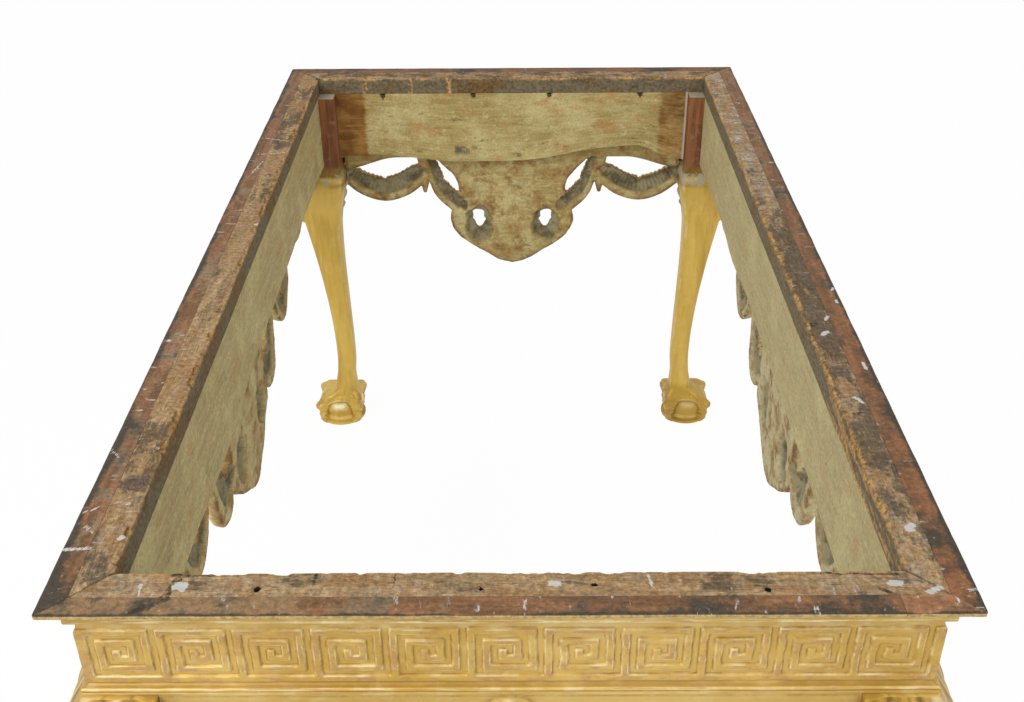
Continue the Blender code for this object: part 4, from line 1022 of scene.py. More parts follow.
# Aprons: half the carving of each, as distance from the middle and drop below the top
shortCarving = {
    "step": 0.0022,
    "shield": ((0.168, 0.050), (0.140, 0.080), (0.119, 0.108), (0.113, 0.138), (0.124, 0.170), (0.131, 0.196),
               (0.126, 0.224), (0.104, 0.252), (0.066, 0.278), (0.030, 0.301), (0.0, 0.3095)),
    "eye": (0.0715, 0.207), "tassels": (0.184,),
    "festoons": ((0.194, None, 0.098, 0.036),),
    "festoonWidths": (0.046, 0.052, 0.054, 0.050, 0.042),
    "garland": ((0.176, 0.052), (0.150, 0.132), (0.112, 0.172)), "garlandWidths": (0.022, 0.036, 0.040),
}
longCarving = {
    "step": 0.0026,
    "shield": ((0.212, 0.050), (0.172, 0.084), (0.146, 0.125), (0.137, 0.165), (0.143, 0.205), (0.139, 0.238),
               (0.115, 0.259), (0.088, 0.279), (0.046, 0.304), (0.018, 0.319), (0.0, 0.3225)),
    "eye": (0.080, 0.209), "tassels": (0.259, 0.434),
    "festoonWidths": (0.022, 0.046, 0.054, 0.046, 0.024),
    "festoons": ((0.269, 0.424, 0.090, 0.092), (0.444, None, 0.084, 0.036)),
    "garland": ((0.250, 0.052), (0.228, 0.130), (0.194, 0.208), (0.150, 0.205)),
    "garlandWidths": (0.022, 0.040, 0.080, 0.050),
}
carvingLook = {
    "band": 0.058, "bandDip": 0.026, "bandDipLength": 0.110,
    "edge": 0.012, "bandDepth": 0.013, "festoonCrown": 0.030, "tasselCrown": 0.024, "shieldCrown": 0.038,
    "festoonRoundness": 0.72, "tuck": 0.004, "eyeScoop": 0.017,
    "tasselWidths": (0.030, 0.020, 0.024, 0.008), "tasselLength": 0.088, "tasselOverlap": 0.008,
    "eyeRadius": 0.0145, "eyeStretch": 1.45, "leafPitch": 0.017, "leafRelief": 0.0042, "scallopPitch": 0.0115,
    "scallop": 0.0034, "notch": 0.007, "hollow": 0.010, "lean": 0.009, "leanDrop": 0.070, "roundOver": 0.0035,
    "railGap": 0.0003, "waver": 0.0030, "tasselFlute": 0.0018, "frontTooling": 0.0006, "backTooling": 0.0030,
    "thinnest": 0.004, "shellRise": 0.004, "flute": 0.0065, "shellLeaf": (0.004, 0.0022, 0.003),
    "shellDrop": 0.012, "shellReach": 0.118, "scrolls": ((0.029, 0.008), (0.043, 0.0045)),
    "scrollWidth": 0.0052, "pateraDrop": 0.029, "pateraRadius": 0.0275, "pateraRise": 0.007, "petal": 0.0016,
}


# A strand along a curve: signed distance to its edge, the way along it, and the place across it.
# The edge on the scalloped side waves in half circles, with a notch at the middle of its length.
def strandField(x, drop, knots, widths, scallopSide=0):
    look = carvingLook
    line = smoothCurve(knots, 110)
    along = np.gradient(line, axis=0)
    along = along / np.linalg.norm(along, axis=1)[:, None]
    way = np.concatenate([[0], np.cumsum(np.linalg.norm(np.diff(line, axis=0), axis=1))])
    half = np.interp(np.linspace(0, 1, len(line)), np.linspace(0, 1, len(widths)), widths) / 2
    squared = (x[..., None] - line[:, 0]) ** 2 + (drop[..., None] - line[:, 1]) ** 2
    nearest = squared.argmin(axis=-1)
    distance = np.sqrt(squared.min(axis=-1))
    offsetX, offsetDrop = x - line[nearest, 0], drop - line[nearest, 1]
    across = np.sign(along[nearest, 1] * offsetX - along[nearest, 0] * offsetDrop + 1e-12)
    across = across * (scallopSide or 1)
    reach = half[nearest]
    if scallopSide:
        waves = np.abs(np.sin(math.pi * way[nearest] / look["scallopPitch"])) - 0.5
        waves = waves * (0.5 + softNoise(way[nearest] / 0.02, 0, 11))
        notch = hump(way[nearest], way[-1] / 2, 0.006)
        reach = reach + (look["scallop"] * waves - look["notch"] * notch) * (across > 0)
    return distance - reach, way[nearest], across * distance / reach


# Signed distance to a closed outline: least distance to its sides, negative within
def outlineField(x, drop, loop):
    a, b = loop, np.roll(loop, -1, axis=0)
    side = b - a
    fromX, fromDrop = x[..., None] - a[:, 0], drop[..., None] - a[:, 1]
    share = np.clip((fromX * side[:, 0] + fromDrop * side[:, 1]) / np.sum(side ** 2, axis=1), 0, 1)
    squared = (fromX - share * side[:, 0]) ** 2 + (fromDrop - share * side[:, 1]) ** 2
    distance = np.sqrt(squared.min(axis=-1))
    rise = np.where(side[:, 1] == 0, 1e-12, side[:, 1])
    spans = (a[:, 1] > drop[..., None]) != (b[:, 1] > drop[..., None])
    crosses = spans & (fromX < side[:, 0] * fromDrop / rise)
    return np.where(crosses.sum(axis=-1) % 2 == 1, -distance, distance)


# A rounded back across a strand: the half circle sqrt(1 - t^2)
def halfRound(across):
    return np.sqrt(np.clip(1 - across ** 2, 0, 1))


# Overlapping leaves along a strand: a saw wave along it, swept back on both sides of its middle
def leafWave(way, across, pitch):
    phase = way / pitch - 0.75 * np.abs(across)
    saw = phase - np.floor(phase)
    return eased(saw, 0.0, 0.22) * (1 - 0.75 * saw)


# The whole carving at the given places: signed distance to its outline, front height, back depth and marks
def carve(x, drop, half, carving):
    look = carvingLook
    side = np.abs(x)
    bandLow = look["band"] + look["bandDip"] * eased(side, half - look["bandDipLength"], half)
    band = np.maximum(drop - bandLow, side - half)
    layers = {"field": band, "front": np.where(band < 0.001, look["bandDepth"], 0),
              "back": np.zeros(x.shape), "grime": np.zeros(x.shape)}

    def strand(knots, widths, crown, scallopSide=0, leaves=True, hollow=0.0):
        out, way, across = strandField(side, drop, knots, widths, scallopSide)
        within = eased(-out, -0.003, 0.002)
        if leaves:
            relief = look["leafRelief"] * (leafWave(way, across, look["leafPitch"]) - 0.55)
        else:
            relief = look["tasselFlute"] * np.cos(4 * math.pi * across)
        swell = look["edge"] + (crown - look["edge"] + relief) * halfRound(across)
        layers["field"] = np.minimum(layers["field"], out)
        layers["front"] = np.maximum(layers["front"], swell * within)
        if hollow:
            below = eased(drop, bandLow - 0.004, bandLow + 0.002)
            scoop = np.clip(1 - ((across - 0.30) / 0.64) ** 2, 0, 1) * within
            nicks = 0.7 + 0.3 * np.abs(np.sin(math.pi * way / (0.5 * look["leafPitch"])))
            layers["back"] = np.maximum(layers["back"], hollow * np.sqrt(scoop) * nicks * below)
            layers["grime"] = np.maximum(layers["grime"], eased(scoop, 0.02, 0.30) * below)

    for near, far, hang, sag in carving["festoons"]:
        far = half - look["tuck"] if far is None else far
        middle, quarter = (near + far) / 2, (far - near) / 4
        shoulder = hang + look["festoonRoundness"] * sag
        knots = ((near, hang), (middle - quarter, shoulder), (middle, hang + sag),
                 (middle + quarter, shoulder), (far, hang))
        strand(knots, carving["festoonWidths"], look["festoonCrown"], 1, hollow=look["hollow"])
    strand(carving["garland"], carving["garlandWidths"], look["festoonCrown"], -1, hollow=look["hollow"])
    for place in carving["tassels"]:
        knot = look["band"] - look["tasselOverlap"]
        line = ((place, knot), (place, knot + look["tasselLength"]))
        strand(line, look["tasselWidths"], look["tasselCrown"], leaves=False)

    # cartouche: domed shield with a fluted shell, a leaf below it and a scroll round each eye
    rightHalf = smoothCurve(carving["shield"], 45)
    loop = np.vstack([rightHalf, (rightHalf * (-1, 1))[::-1][1:]])
    out = outlineField(x, drop, loop) + look["waver"] * (softNoise(x / 0.016, drop / 0.016, 23) - 0.5)
    within = eased(-out, -0.003, 0.002)
    tip, crown = loop[:, 1].max(), loop[:, 1].min()
    wide = loop[:, 0].max()
    dome = np.clip(1 - (x / wide) ** 2, 0, 1) * np.sin(math.pi * np.clip((tip - drop) / (tip - crown), 0, 1))
    swell = look["edge"] + (look["shieldCrown"] - look["edge"] - 0.010) * np.sqrt(np.clip(dome, 0, 1))
    eyeX, eyeDrop = carving["eye"]
    toEye = np.hypot(side - eyeX, (drop - eyeDrop) / look["eyeStretch"])
    shellDrop, shellReach = eyeDrop + look["shellDrop"], look["shellReach"]
    fromShell, turn = np.hypot(x, shellDrop - drop), np.arctan2(x, shellDrop - drop)
    shellEdge = shellReach * (1 - 0.05 * np.cos(11 * turn))
    inShell = eased(shellEdge - fromShell, 0, 0.004) * eased(2.0 - np.abs(turn), 0, 0.2)
    flutes = np.abs(np.cos(5.5 * turn)) * eased(fromShell, 0.012, 0.05)
    flutes = look["flute"] * flutes * np.clip(fromShell / shellReach, 0, 1)
    swell = swell + inShell * (look["shellRise"] + flutes)
    leafShare = np.clip((drop - shellDrop) / (tip - shellDrop), 0, 1)
    leafHalf = 0.060 * np.sin(math.pi * np.clip(0.15 + 0.85 * (1 - leafShare), 0, 1)) + 0.004
    inLeaf = eased(leafHalf * (1 + 0.10 * np.cos(40 * leafShare)) - side, 0, 0.004) * (drop > shellDrop)
    veins = np.cos(2 * math.pi * (side / 0.016 + 1.6 * leafShare))
    rise, veinRise, ribRise = look["shellLeaf"]
    swell = swell + inLeaf * (rise + veinRise * veins + ribRise * hump(side, 0, 0.006))
    for radius, lift in look["scrolls"]:
        swell = swell + lift * hump(toEye, radius, look["scrollWidth"])
    field = np.minimum(layers["field"], out)
    front = np.maximum(layers["front"], swell * within)
    eyeTurn = np.arctan2(side - eyeX, drop - eyeDrop)
    eyeEdge = look["eyeRadius"] * (1 + 0.14 * np.cos(2 * eyeTurn + 0.7) + 0.10 * np.cos(5 * eyeTurn))
    field = np.maximum(field, eyeEdge - toEye)
    ragged = 0.6 + 0.8 * softNoise(x / 0.012, drop / 0.012, 17)
    scoop = np.clip(1 - ragged * np.hypot((side - eyeX) / 0.030, (drop - eyeDrop - 0.010) / 0.042) ** 2, 0, 1)
    back = np.maximum(layers["back"], look["eyeScoop"] * np.sqrt(scoop) * within)
    grime = np.maximum(layers["grime"], eased(scoop, 0.0, 0.30))

    # patera on the band, over the cartouche
    below = drop - look["pateraDrop"]
    fromBoss, bossTurn = np.hypot(x, below), np.arctan2(x, below)
    petals = look["petal"] * np.cos(8 * bossTurn) * eased(fromBoss, 0.004, 0.012)
    front = front + (look["pateraRise"] + petals) * halfRound(fromBoss / look["pateraRadius"])
    field = np.maximum(np.maximum(field, side - half), -drop)
    return field, front, back, grime


# Apron: a grid of places whose rim is drawn onto the outline, with a carved front, a hollowed back and a wall
def apron(side, carving):
    look = carvingLook
    node = "apron_" + side
    low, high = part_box(node)
    half = high.x if side in ("front", "back") else high.y
    top = high.z
    backPlane = spanOf("rail_left")[0] - look["railGap"]
    seed = 200 + sideNames.index(side)
    columns = int(2 * half / carving["step"]) + 1
    rows = int((top - low.z) / carving["step"]) + 4
    x, drop = np.meshgrid(np.linspace(-half, half, columns), np.arange(rows) * carving["step"])
    spacing = 2 * half / (columns - 1)
    field, *_ = carve(x, drop, half, carving)
    kept = (field[:-1, :-1] + field[1:, :-1] + field[:-1, 1:] + field[1:, 1:]) < 0
    padded = np.pad(kept, 1)
    touching = padded[:-1, :-1].astype(int) + padded[1:, :-1] + padded[:-1, 1:] + padded[1:, 1:]
    rim = (touching > 0) & (touching < 4)
    slopeDrop, slopeX = np.gradient(field, carving["step"], spacing)
    steep = np.maximum(slopeX ** 2 + slopeDrop ** 2, 0.25)
    inner = np.zeros(x.shape, bool)
    inner[1:-1, 1:-1] = True
    move = np.where(rim & inner, np.clip(field, -0.8 * spacing, 0.8 * spacing) / steep, 0)
    x, drop = x - move * slopeX, np.maximum(drop - move * slopeDrop, 0)
    field, front, back, grime = carve(x, drop, half, carving)
    field = np.where(rim, np.maximum(field, -0.0004), field)
    near = np.clip(-field, 0, look["roundOver"]) / look["roundOver"]
    rounding = look["roundOver"] * (1 - halfRound(1 - near))
    onRim = (drop > 0.002) & (np.abs(x) < half - 0.001)
    rough = softNoise(x / 0.030, drop / 0.022, seed, 4)
    front = np.maximum(front, look["edge"]) - rounding * onRim - look["frontTooling"] * rough
    belowRail = eased(drop, look["band"] - 0.006, look["band"] + 0.010)
    back = np.maximum(back, 0.6 * rounding * onRim) + look["backTooling"] * rough * belowRail
    back = np.minimum(back, front - look["thinnest"])
    plane = backPlane - look["lean"] * eased(drop, look["band"], look["band"] + look["leanDrop"])
    relief = np.clip((front - softened(front, 6)) / 0.0016, -1, 1)
    crest, sunk = np.clip(relief, 0, 1), np.clip(-relief, 0, 1)

    count = x.size
    index = np.arange(count).reshape(x.shape)
    frontQuads = np.stack([index[:-1, :-1], index[1:, :-1], index[1:, 1:], index[:-1, 1:]], axis=-1)[kept]
    quads = [frontQuads, frontQuads[:, ::-1] + count]
    # a wall stands on each edge that only one kept quad has
    level = np.diff(np.pad(kept, ((1, 1), (0, 0))).astype(int), axis=0)
    upright = np.diff(np.pad(kept, ((0, 0), (1, 1))).astype(int), axis=1)
    for change, a, b in ((level, index[:, :-1], index[:, 1:]), (-upright, index[:-1, :], index[1:, :])):
        for sign in (1, -1):
            first, second = (a, b) if sign == 1 else (b, a)
            one, two = first[change == sign], second[change == sign]
            quads.append(np.stack([one, two, two + count, one + count], axis=-1))
    quads = np.vstack(quads)
    points = np.concatenate([onSide(side, x, plane - front, top - drop).reshape(-1, 3),
                             onSide(side, x, plane - back, top - drop).reshape(-1, 3)])

    def bothFaces(front, back):
        return np.concatenate([np.broadcast_to(item, x.shape).ravel() for item in (front, back)])

    # paler all over: strongly on the right apron, a little on the left
    chalkAndLight = {"right": 1.0, "left": 0.3}.get(side, 0.0)
    marks = {
        "behind": bothFaces(0.9 * onRim * (1 - eased(-field, 0.001, 0.0045)), 1.0),
        "grime": bothFaces(0.0, grime),
        "chalkAndLight": bothFaces(chalkAndLight, chalkAndLight),
        "rimWood": bothFaces(0.0, (1 - eased(-field, 0.001, 0.010)) * belowRail),
        # ridge and edge: bole and worn pale on the crests, the pale partly a painted highlight; hollow: a
        # painted shade in the recesses of the front
        "ridge": bothFaces(crest * eased(rough, 0.45, 0.65), 0.0),
        "edge": bothFaces(crest * eased(rough, 0.25, 0.6), 0.0),
        "hollow": bothFaces(sunk, 0.0),
    }
    grain = np.tile(np.stack([x, drop], axis=-1).reshape(-1, 2), (2, 1))
    used, quads = np.unique(quads, return_inverse=True)
    quads = quads.reshape(-1, 4)
    marks = {key: values[used] for key, values in marks.items()}
    piece = makePiece("apronCarving_" + side, points[used], quads, (), grain[used], marks, 50)
    settle(piece, node, apronGilt)


for side in sideNames:
    apron(side, shortCarving if side in ("front", "back") else longCarving)
print("aprons made")


legLook = {
    "around": 168, "footRows": (0, 0.112, 96), "shinRows": (0.115, 0.46, 52),
    "kneeFoot": 0.463, "kneeRows": 96, "postRows": 12,
    "kneeTop": 0.0155, "kneeReach": 0.0105, "kneeDrop": 0.060, "kneeFullness": 0.7,
    "ledgeDrop": 0.073, "ledgeHeight": 0.018, "ledgeStep": 0.004, "calfDrop": 0.210, "calfInset": 0.0800,
    "shinFullness": 0.85, "ankleHeight": 0.178, "ankleSize": 0.0400, "ankleInset": 0.0702, "heelSize": 0.0474,
    "heelHeight": 0.135, "heelFlare": 0.043, "footHeight": 0.092, "footInset": 0.045, "ballRadius": 0.050,
    "ballHeight": 0.036, "rimReach": 0.0525, "talonReach": 0.0715, "rim": 0.0012,
    "kneeSquareness": 7.0, "shaftSquareness": 3.6, "arrisSquareness": 7.0, "postSquareness": 60.0,
    "windowHalf": 0.79, "windowTop": 0.062, "webLift": 0.0030, "leafLow": 0.150, "leafRelief": 0.0038,
    "leafHalf": 1.72, "ear": 0.0130, "earTurn": 1.50, "earPitch": 0.026,
    "talonHeights": (0.0, 0.006, 0.014, 0.021, 0.029, 0.036, 0.044, 0.050, 0.058, 0.066, 0.074, 0.084, 0.095),
    "talonShares": (0.78, 0.83, 0.85, 0.89, 0.84, 0.90, 0.99, 1.0, 0.88, 0.84, 0.72, 0.48, 0.30),
    # per leg, the others and then the far right foot: plaster on the ledge, the painted highlight on the
    # ball, burnish, and painted shade over the foot
    "tones": {"plaster": (0.30, 0.72), "paintedHighlight": (0.85, 0.25), "burnish": (1.0, 0.3), "toningAndShade": (0.0, 0.8)},
}
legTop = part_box("leg_front_left")[1].z
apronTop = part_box("apron_front")[1].z
postOuter = spanOf("rail_left")[0]
postInner = postOuter + postSide
kneeCrown = apronTop - legLook["kneeDrop"]
ledgeTop = apronTop - legLook["ledgeDrop"]
ledgeLow = ledgeTop - legLook["ledgeHeight"]
ledgeInset = postInner + legLook["ledgeStep"]
calfHeight = apronTop - legLook["calfDrop"]
kneeEnd = apronTop - 0.0001  # the post stands on the knee here


# Shaft: its leaning centre line and its radius at each turn, by the superellipse |cos|^n + |sin|^n = 1
# between its outer and inner faces
def legShaft(z, turn, side):
    look = legLook
    ankle, footTop, onPost = look["ankleHeight"], look["footHeight"], z > kneeEnd
    ankleOuter = look["ankleInset"] - look["ankleSize"] / 2
    ankleInner = look["ankleInset"] + look["ankleSize"] / 2
    kneeShare = np.clip((apronTop - z) / look["kneeDrop"], 0, 1) ** look["kneeFullness"]
    shinShare = np.clip((kneeCrown - z) / (kneeCrown - ankle), 0, 1) ** look["shinFullness"]
    knee = mixed(look["kneeTop"], -look["kneeReach"], eased(kneeShare, 0, 1))
    shin = mixed(-look["kneeReach"], ankleOuter, eased(shinShare, 0, 1))
    outer = np.where(z > kneeCrown, knee, shin)
    upper = mixed(ledgeInset, look["calfInset"], eased(ledgeLow - z, 0, ledgeLow - calfHeight))
    lower = mixed(look["calfInset"], ankleInner, eased(calfHeight - z, 0, calfHeight - ankle))
    inner = np.where(z > calfHeight, upper, lower)
    inner = np.where(z > ledgeLow, mixed(ledgeInset, postInner, eased(z, ledgeLow, ledgeTop)), inner)
    outer, inner = np.where(onPost, postOuter, outer), np.where(onPost, postInner, inner)
    # below the ankle the centre goes over to the middle of the foot
    heel = look["ankleInset"] - (look["ankleInset"] - look["footInset"]) / 4
    toHeel = mixed(look["ankleInset"], heel, eased(ankle - z, 0, ankle - footTop))
    toFoot = mixed(look["footInset"], heel, eased(z, 0.5 * footTop, footTop))
    centre = np.where(z < ankle, toHeel, (outer + inner) / 2)
    centre = np.where(z < footTop, toFoot, centre)
    flare = eased(look["heelHeight"] - z, 0, look["heelFlare"])
    half = np.where(z < ankle, mixed(look["ankleSize"], look["heelSize"], flare) / 2, (inner - outer) / 2)
    below = eased(ledgeLow - z, 0, 0.5 * (ledgeLow - ankle))
    square = mixed(look["kneeSquareness"], look["shaftSquareness"], below)
    square = mixed(square, look["arrisSquareness"], eased(side, 2.2, 2.8) * eased(z, 0.10, 0.14))
    inFrame = eased(side, 0.75, 0.80) * eased(z, ledgeLow, ledgeTop)
    square = mixed(square, look["postSquareness"], np.where(onPost, 1.0, inFrame))
    radius = half / (np.abs(np.cos(turn)) ** square + np.abs(np.sin(turn)) ** square) ** (1 / square)
    # beside the rail the knee is a little wider than the post, up to the end of the apron
    beside = spell(side, 1.30, 1.45, 2.00, 2.06) * (z > ledgeTop - 0.001) * (z < kneeEnd)
    return centre, radius * (1 + (ledgeInset - postInner) / half * beside)


# Foot: a ball held by four talons. Between two talons a web spans from crest to crest, cut by an arch that
# shows the ball.
def clawFoot(z, turn, radius):
    look = legLook
    reach, middle = look["ballRadius"], look["ballHeight"]
    ball = np.sqrt(np.clip(reach ** 2 - (z - middle) ** 2, 0, None))
    ball = np.where(z < middle, np.maximum(ball, 0.95 * reach), ball)
    ball = np.maximum(ball, look["rimReach"] * (1 - eased(z, 0.006, 0.009)))
    toCrest = np.abs(np.mod(turn + math.pi / 4, math.pi / 2) - math.pi / 4) / (math.pi / 4)
    talon = look["talonReach"] * np.interp(z, look["talonHeights"], look["talonShares"])
    talon = np.maximum(talon, ball + 0.001)
    web = np.maximum(ball + look["webLift"] * eased(0.104 - z, 0, 0.03), radius * eased(z, 0.055, 0.075))
    web = np.maximum(web, mixed(look["heelSize"] / 2, 0.97 * reach, 1 - eased(z, 0.034, 0.108)))
    crestShape = 0.45 * eased(toCrest, 0.35, 1.0) + 0.55 * halfRound((1 - toCrest) / 0.30)
    web = web + np.maximum(talon - web, 0) * crestShape
    arch = look["windowTop"] * np.clip(1 - (toCrest / look["windowHalf"]) ** 3, 0, 1) ** 0.40
    inWindow = eased(arch - z, -0.0015, 0.0015)
    rimLine = hump(z, arch + 0.002, 0.0022) * (arch > 0) * (z > 0.009)
    foot = mixed(ball, web + look["rim"] * rimLine, 1 - inWindow)
    inFoot = eased(look["footHeight"] + 0.018 - z, 0, 0.030)
    radius = mixed(radius, np.maximum(foot, np.where(z > 0.085, radius, 0)), inFoot)
    return radius, toCrest, arch, inWindow, rimLine, inFoot


# Knee: an acanthus leaf over the outer corner, with veins that are a cosine across it, and lobes that stand
# past the sides of the leg
def kneeLeaf(z, side):
    look = legLook
    up = np.clip((z - (apronTop - look["leafLow"])) / look["leafLow"], 0, 1)
    leafHalf = look["leafHalf"] * up ** 0.55 + 0.10 * np.abs(np.sin(4.5 * math.pi * up))
    inLeaf = eased(leafHalf - side, 0, 0.16) * (up > 0) * (z < apronTop - 0.0005)
    veinTurn = side / np.maximum(leafHalf, 0.05)
    veins = np.cos(2 * math.pi * (2.6 * veinTurn - 1.2 * up))
    offRib = eased(veinTurn, 0.08, 0.25)
    relief = look["leafRelief"] * (0.45 + 0.30 * veins * offRib + 0.45 * hump(side, 0, 0.10))
    relief = relief * inLeaf * (1 - 0.6 * eased(z, apronTop - 0.02, apronTop))
    relief = relief * (1 - eased(side, 1.45, 1.60) * eased(z, ledgeLow, ledgeTop))
    lobeRun = spell(z, kneeCrown - 0.128, kneeCrown - 0.112, kneeCrown - 0.034, kneeCrown - 0.020)
    earWave = 0.30 + 0.70 * np.abs(np.sin(math.pi * (z - kneeCrown) / look["earPitch"]))
    relief = relief + look["ear"] * lobeRun * earWave * hump(side, look["earTurn"], 0.13)
    return relief, inLeaf, inLeaf * np.clip(veins, 0, 1), inLeaf * np.clip(-veins, 0, 1) * offRib


# Leg: rings of points round the leaning centre line, with marks for crests, hollows, ledge, post and ball
def leg(corner):
    look = legLook
    seed = 300 + cornerNames.index(corner)
    # the far right foot is painted darker as a painted shade, with less painted highlight and less burnish on
    # its ball
    dark = corner == "back_right"  # the far right foot
    tone = {key: pair[dark] for key, pair in look["tones"].items()}
    z = np.concatenate([np.linspace(*look["footRows"]), np.linspace(*look["shinRows"]),
                        np.linspace(look["kneeFoot"], apronTop - 0.001, look["kneeRows"]),
                        [apronTop - 0.0003],
                        np.linspace(apronTop, legTop - 0.0004, look["postRows"]), [legTop]])[:, None]
    turn = np.linspace(0, 2 * math.pi, look["around"], endpoint=False)[None, :]
    swing = np.mod(turn - 0.25 * math.pi, 2 * math.pi) - math.pi
    side = np.abs(swing)  # 0 at the outer corner, pi within
    facing = 1 if corner in ("front_left", "back_right") else -1
    centre, radius = legShaft(z, turn, side)
    radius, toCrest, arch, inWindow, rimLine, inFoot = clawFoot(z, turn, radius)
    relief, inLeaf, veinCrest, leafGroove = kneeLeaf(z, side)
    radius = radius + relief
    points = onCorner(corner, centre + radius * np.cos(turn), centre + radius * np.sin(turn), z + 0 * turn)

    worn = softNoise(turn * 2.2, z / 0.03, seed, 4)
    onInner = eased(side, 1.62, 1.72)
    onCrestLine = eased(toCrest, 0.80, 0.96) * inFoot * (1 - inWindow)
    arris = hump(side, math.pi, 0.05) * spell(z, 0.11, 0.13, ledgeLow - 0.01, ledgeLow)
    onLedge = spell(z, ledgeLow - 0.010, ledgeLow - 0.002, ledgeTop + 0.002, ledgeTop + 0.010) * onInner
    ledgeLip = hump(z, ledgeLow + 0.008, 0.004) * onInner
    underLedge = hump(z, ledgeLow - 0.004, 0.005) * onInner
    shadeUnderPost = spell(z, ledgeTop - 0.006, ledgeTop - 0.001, ledgeTop + 0.020, ledgeTop + 0.026) * onInner
    onBall = inWindow * inFoot * eased(z, 0.010, 0.014)
    onEar = spell(side, 1.25, 1.45, 2.40, 2.60) * eased(z, kneeCrown - 0.130, kneeCrown - 0.118)
    onEar = onEar * (z < kneeEnd) * (swing * facing > 0)
    flutes = eased(np.cos(26 * side), -0.2, 0.7) * eased(z, kneeCrown + 0.02, apronTop - 0.012)
    marks = {
        "bareWood": np.maximum(eased(z, ledgeTop + 0.012, ledgeTop + 0.022) * onInner, z > kneeEnd),
        "plaster": np.maximum(onLedge * tone["plaster"], z > legTop - 0.0002),
        "ridge": onCrestLine * eased(worn, 0.35, 0.6) + veinCrest * eased(worn, 0.5, 0.7)
                 + 0.8 * inLeaf * eased(z, kneeCrown + 0.015, apronTop - 0.01) * eased(worn, 0.3, 0.55),
        # edge: worn pale on veins, arris, rim line and ledge lip, and a painted reflection, lighter, low on
        # the ball
        "edge": (0.6 * veinCrest + 0.55 * arris) * eased(worn, 0.3, 0.6) + 0.45 * rimLine * inFoot
                + 0.6 * ledgeLip * eased(worn, 0.3, 0.55) + 0.5 * onBall * (1 - eased(z, 0.010, 0.024)),
        # paintedHighlight: a painted highlight on the top of the ball
        "paintedHighlight": tone["paintedHighlight"] * onBall * hump(z, 0.048, 0.007) * (1 - eased(toCrest, 0.15, 0.55))
                 * eased(worn, 0.2, 0.45),
        # hollow: painted shade in the leaf's grooves and flutes, under the web's arch on the ball and under
        # the post; darker by the ear, just below the ledge and at random on the foot
        "hollow": 0.8 * leafGroove + 0.7 * inLeaf * flutes + onBall * hump(z, arch, 0.004) + shadeUnderPost
                  + 0.8 * onEar * eased(worn, 0.25, 0.55) + 0.6 * underLedge * eased(worn, 0.3, 0.6)
                  + 0.35 * inFoot * eased(worn, 0.55, 0.75),
        "burnish": tone["burnish"] * onBall,
        # toningAndShade: a painted dark reflection across the ball, and painted shade under the post, down
        # the leg's sides and over the far right foot; browner at random on the foot, by the ear and up the
        # knee leaf
        "toningAndShade": 0.7 * onBall * hump(z, 0.029, 0.009)
                  + inFoot * (0.35 * eased(worn, 0.5, 0.7) + tone["toningAndShade"])
                  + 0.5 * shadeUnderPost + 0.6 * onEar + 0.45 * inLeaf * eased(z, kneeCrown, apronTop)
                  + 0.30 * spell(side, 0.6, 1.2, 1.7, 2.3) * (1 - inFoot),
    }
    marks = {key: np.clip(values, 0, 1) + 0 * worn for key, values in marks.items()}
    rows, columns = points.shape[:2]
    caps = [np.arange(columns)[::-1], np.arange(columns) + (rows - 1) * columns]
    piece = makePiece("clawFootLeg_" + corner, points, gridFaces(rows, columns, True), caps, None, marks, 55)
    settle(piece, "leg_" + corner, legGilt)


for corner in cornerNames:
    leg(corner)
print("legs made")


# Floor and light: white all round for the camera, soft lamps above
stageLook = {
    "floor": (0.97, 0.97, 0.97), "floorRoughness": 0.9, "floorHalf": 9.0, "floorDrop": 0.0005,
    "floorGlow": 0.96, "sky": 0.66,
    "key": ((-1.9, -2.3, 3.2), 1.9, 78.0), "fill": ((2.4, -1.4, 2.6), 2.0, 16.0), "aim": (0, 0, 0.6),
}


# 1 for what the camera sees straight, in a reflection or through glass, 0 for light that falls on the object
def seenRay(tree):
    path = newNode(tree, "LightPath")
    seen = sums(tree, "MAXIMUM", path.outputs["Is Camera Ray"], path.outputs["Is Glossy Ray"])
    return sums(tree, "MAXIMUM", seen, path.outputs["Is Transmission Ray"])


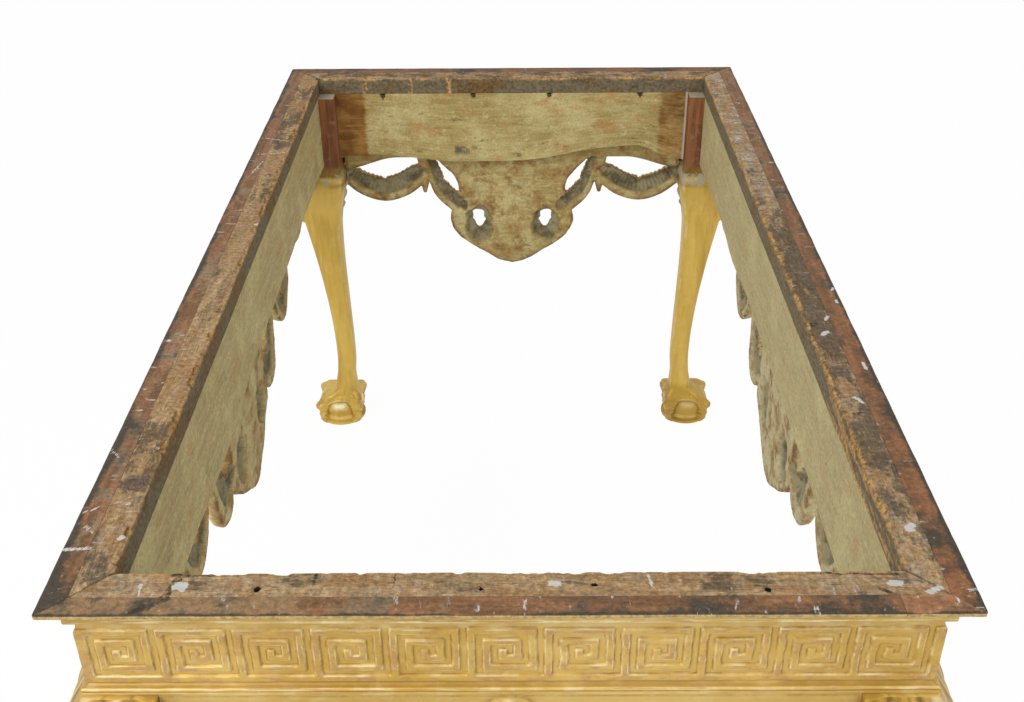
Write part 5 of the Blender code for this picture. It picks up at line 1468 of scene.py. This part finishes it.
def stageFloor():
    grid = np.linspace(-stageLook["floorHalf"], stageLook["floorHalf"], 3)
    x, y = np.meshgrid(grid, grid)
    points = np.stack([x, y, np.full_like(x, -stageLook["floorDrop"])], axis=-1).reshape(-1, 3)
    mesh = bpy.data.meshes.new("floor")
    mesh.from_pydata(points.tolist(), [], gridFaces(3, 3).tolist())
    floor = bpy.data.objects.new("floor", mesh)
    bpy.context.scene.collection.objects.link(floor)
    material, tree, shader = newFinish("paleFloor")
    put(tree, stageLook["floor"], shader.inputs["Base Color"])
    put(tree, stageLook["floorRoughness"], shader.inputs["Roughness"])
    glow = newNode(tree, "Emission", {"Color": (1, 1, 1)})
    share = times(tree, seenRay(tree), stageLook["floorGlow"])
    both = newNode(tree, "MixShader", {0: share, 1: shader.outputs[0], 2: glow.outputs[0]})
    put(tree, both.outputs[0], tree.nodes["Material Output"].inputs["Surface"])
    mesh.materials.append(material)


def studioLight():
    world = bpy.data.worlds.new("studio")
    bpy.context.scene.world = world
    world.use_nodes = True
    tree = world.node_tree
    background = tree.nodes["Background"]
    put(tree, (1, 1, 1), background.inputs["Color"])
    put(tree, between(tree, seenRay(tree), 0, 1, stageLook["sky"], 1.0), background.inputs["Strength"])
    for name in ("key", "fill"):
        place, size, power = stageLook[name]
        lamp = bpy.data.lights.new(name + "Lamp", "AREA")
        lamp.size = size
        lamp.energy = power
        holder = bpy.data.objects.new(name + "Lamp", lamp)
        away = np.array(place) - np.array(stageLook["aim"])
        away = away / np.linalg.norm(away)
        right = np.cross((0, 0, 1), away)
        right = right / np.linalg.norm(right)
        turned = Matrix((right, np.cross(away, right), away)).transposed().to_4x4()
        holder.matrix_world = Matrix.Translation(place) @ turned
        bpy.context.scene.collection.objects.link(holder)


cameraView = {"place": (0.0074, -1.598, 1.6026), "pitch": 31.62, "yaw": 0.232, "roll": 0.361, "lens": 42.40}


# The camera of the photograph: turned by yaw, tipped down by pitch and rolled about its own axis
def standCamera():
    view = cameraView
    pitch, yaw, roll = (math.radians(view[key]) for key in ("pitch", "yaw", "roll"))
    ahead = np.array((-math.sin(yaw) * math.cos(pitch), math.cos(yaw) * math.cos(pitch), -math.sin(pitch)))
    right = np.array((math.cos(yaw), math.sin(yaw), 0))
    down = np.cross(ahead, right)
    c, s = math.cos(roll), math.sin(roll)
    right, down = c * right + s * down, c * down - s * right
    data = bpy.data.cameras.new("photoCamera")
    data.lens = view["lens"]
    data.sensor_width = 36
    camera = bpy.data.objects.new("photoCamera", data)
    turned = Matrix((right, -down, -ahead)).transposed().to_4x4()
    camera.matrix_world = Matrix.Translation(view["place"]) @ turned
    bpy.context.scene.collection.objects.link(camera)
    bpy.context.scene.camera = camera


stageFloor()
studioLight()
standCamera()
bpy.context.scene.view_settings.view_transform = "Standard"
print("stage made")
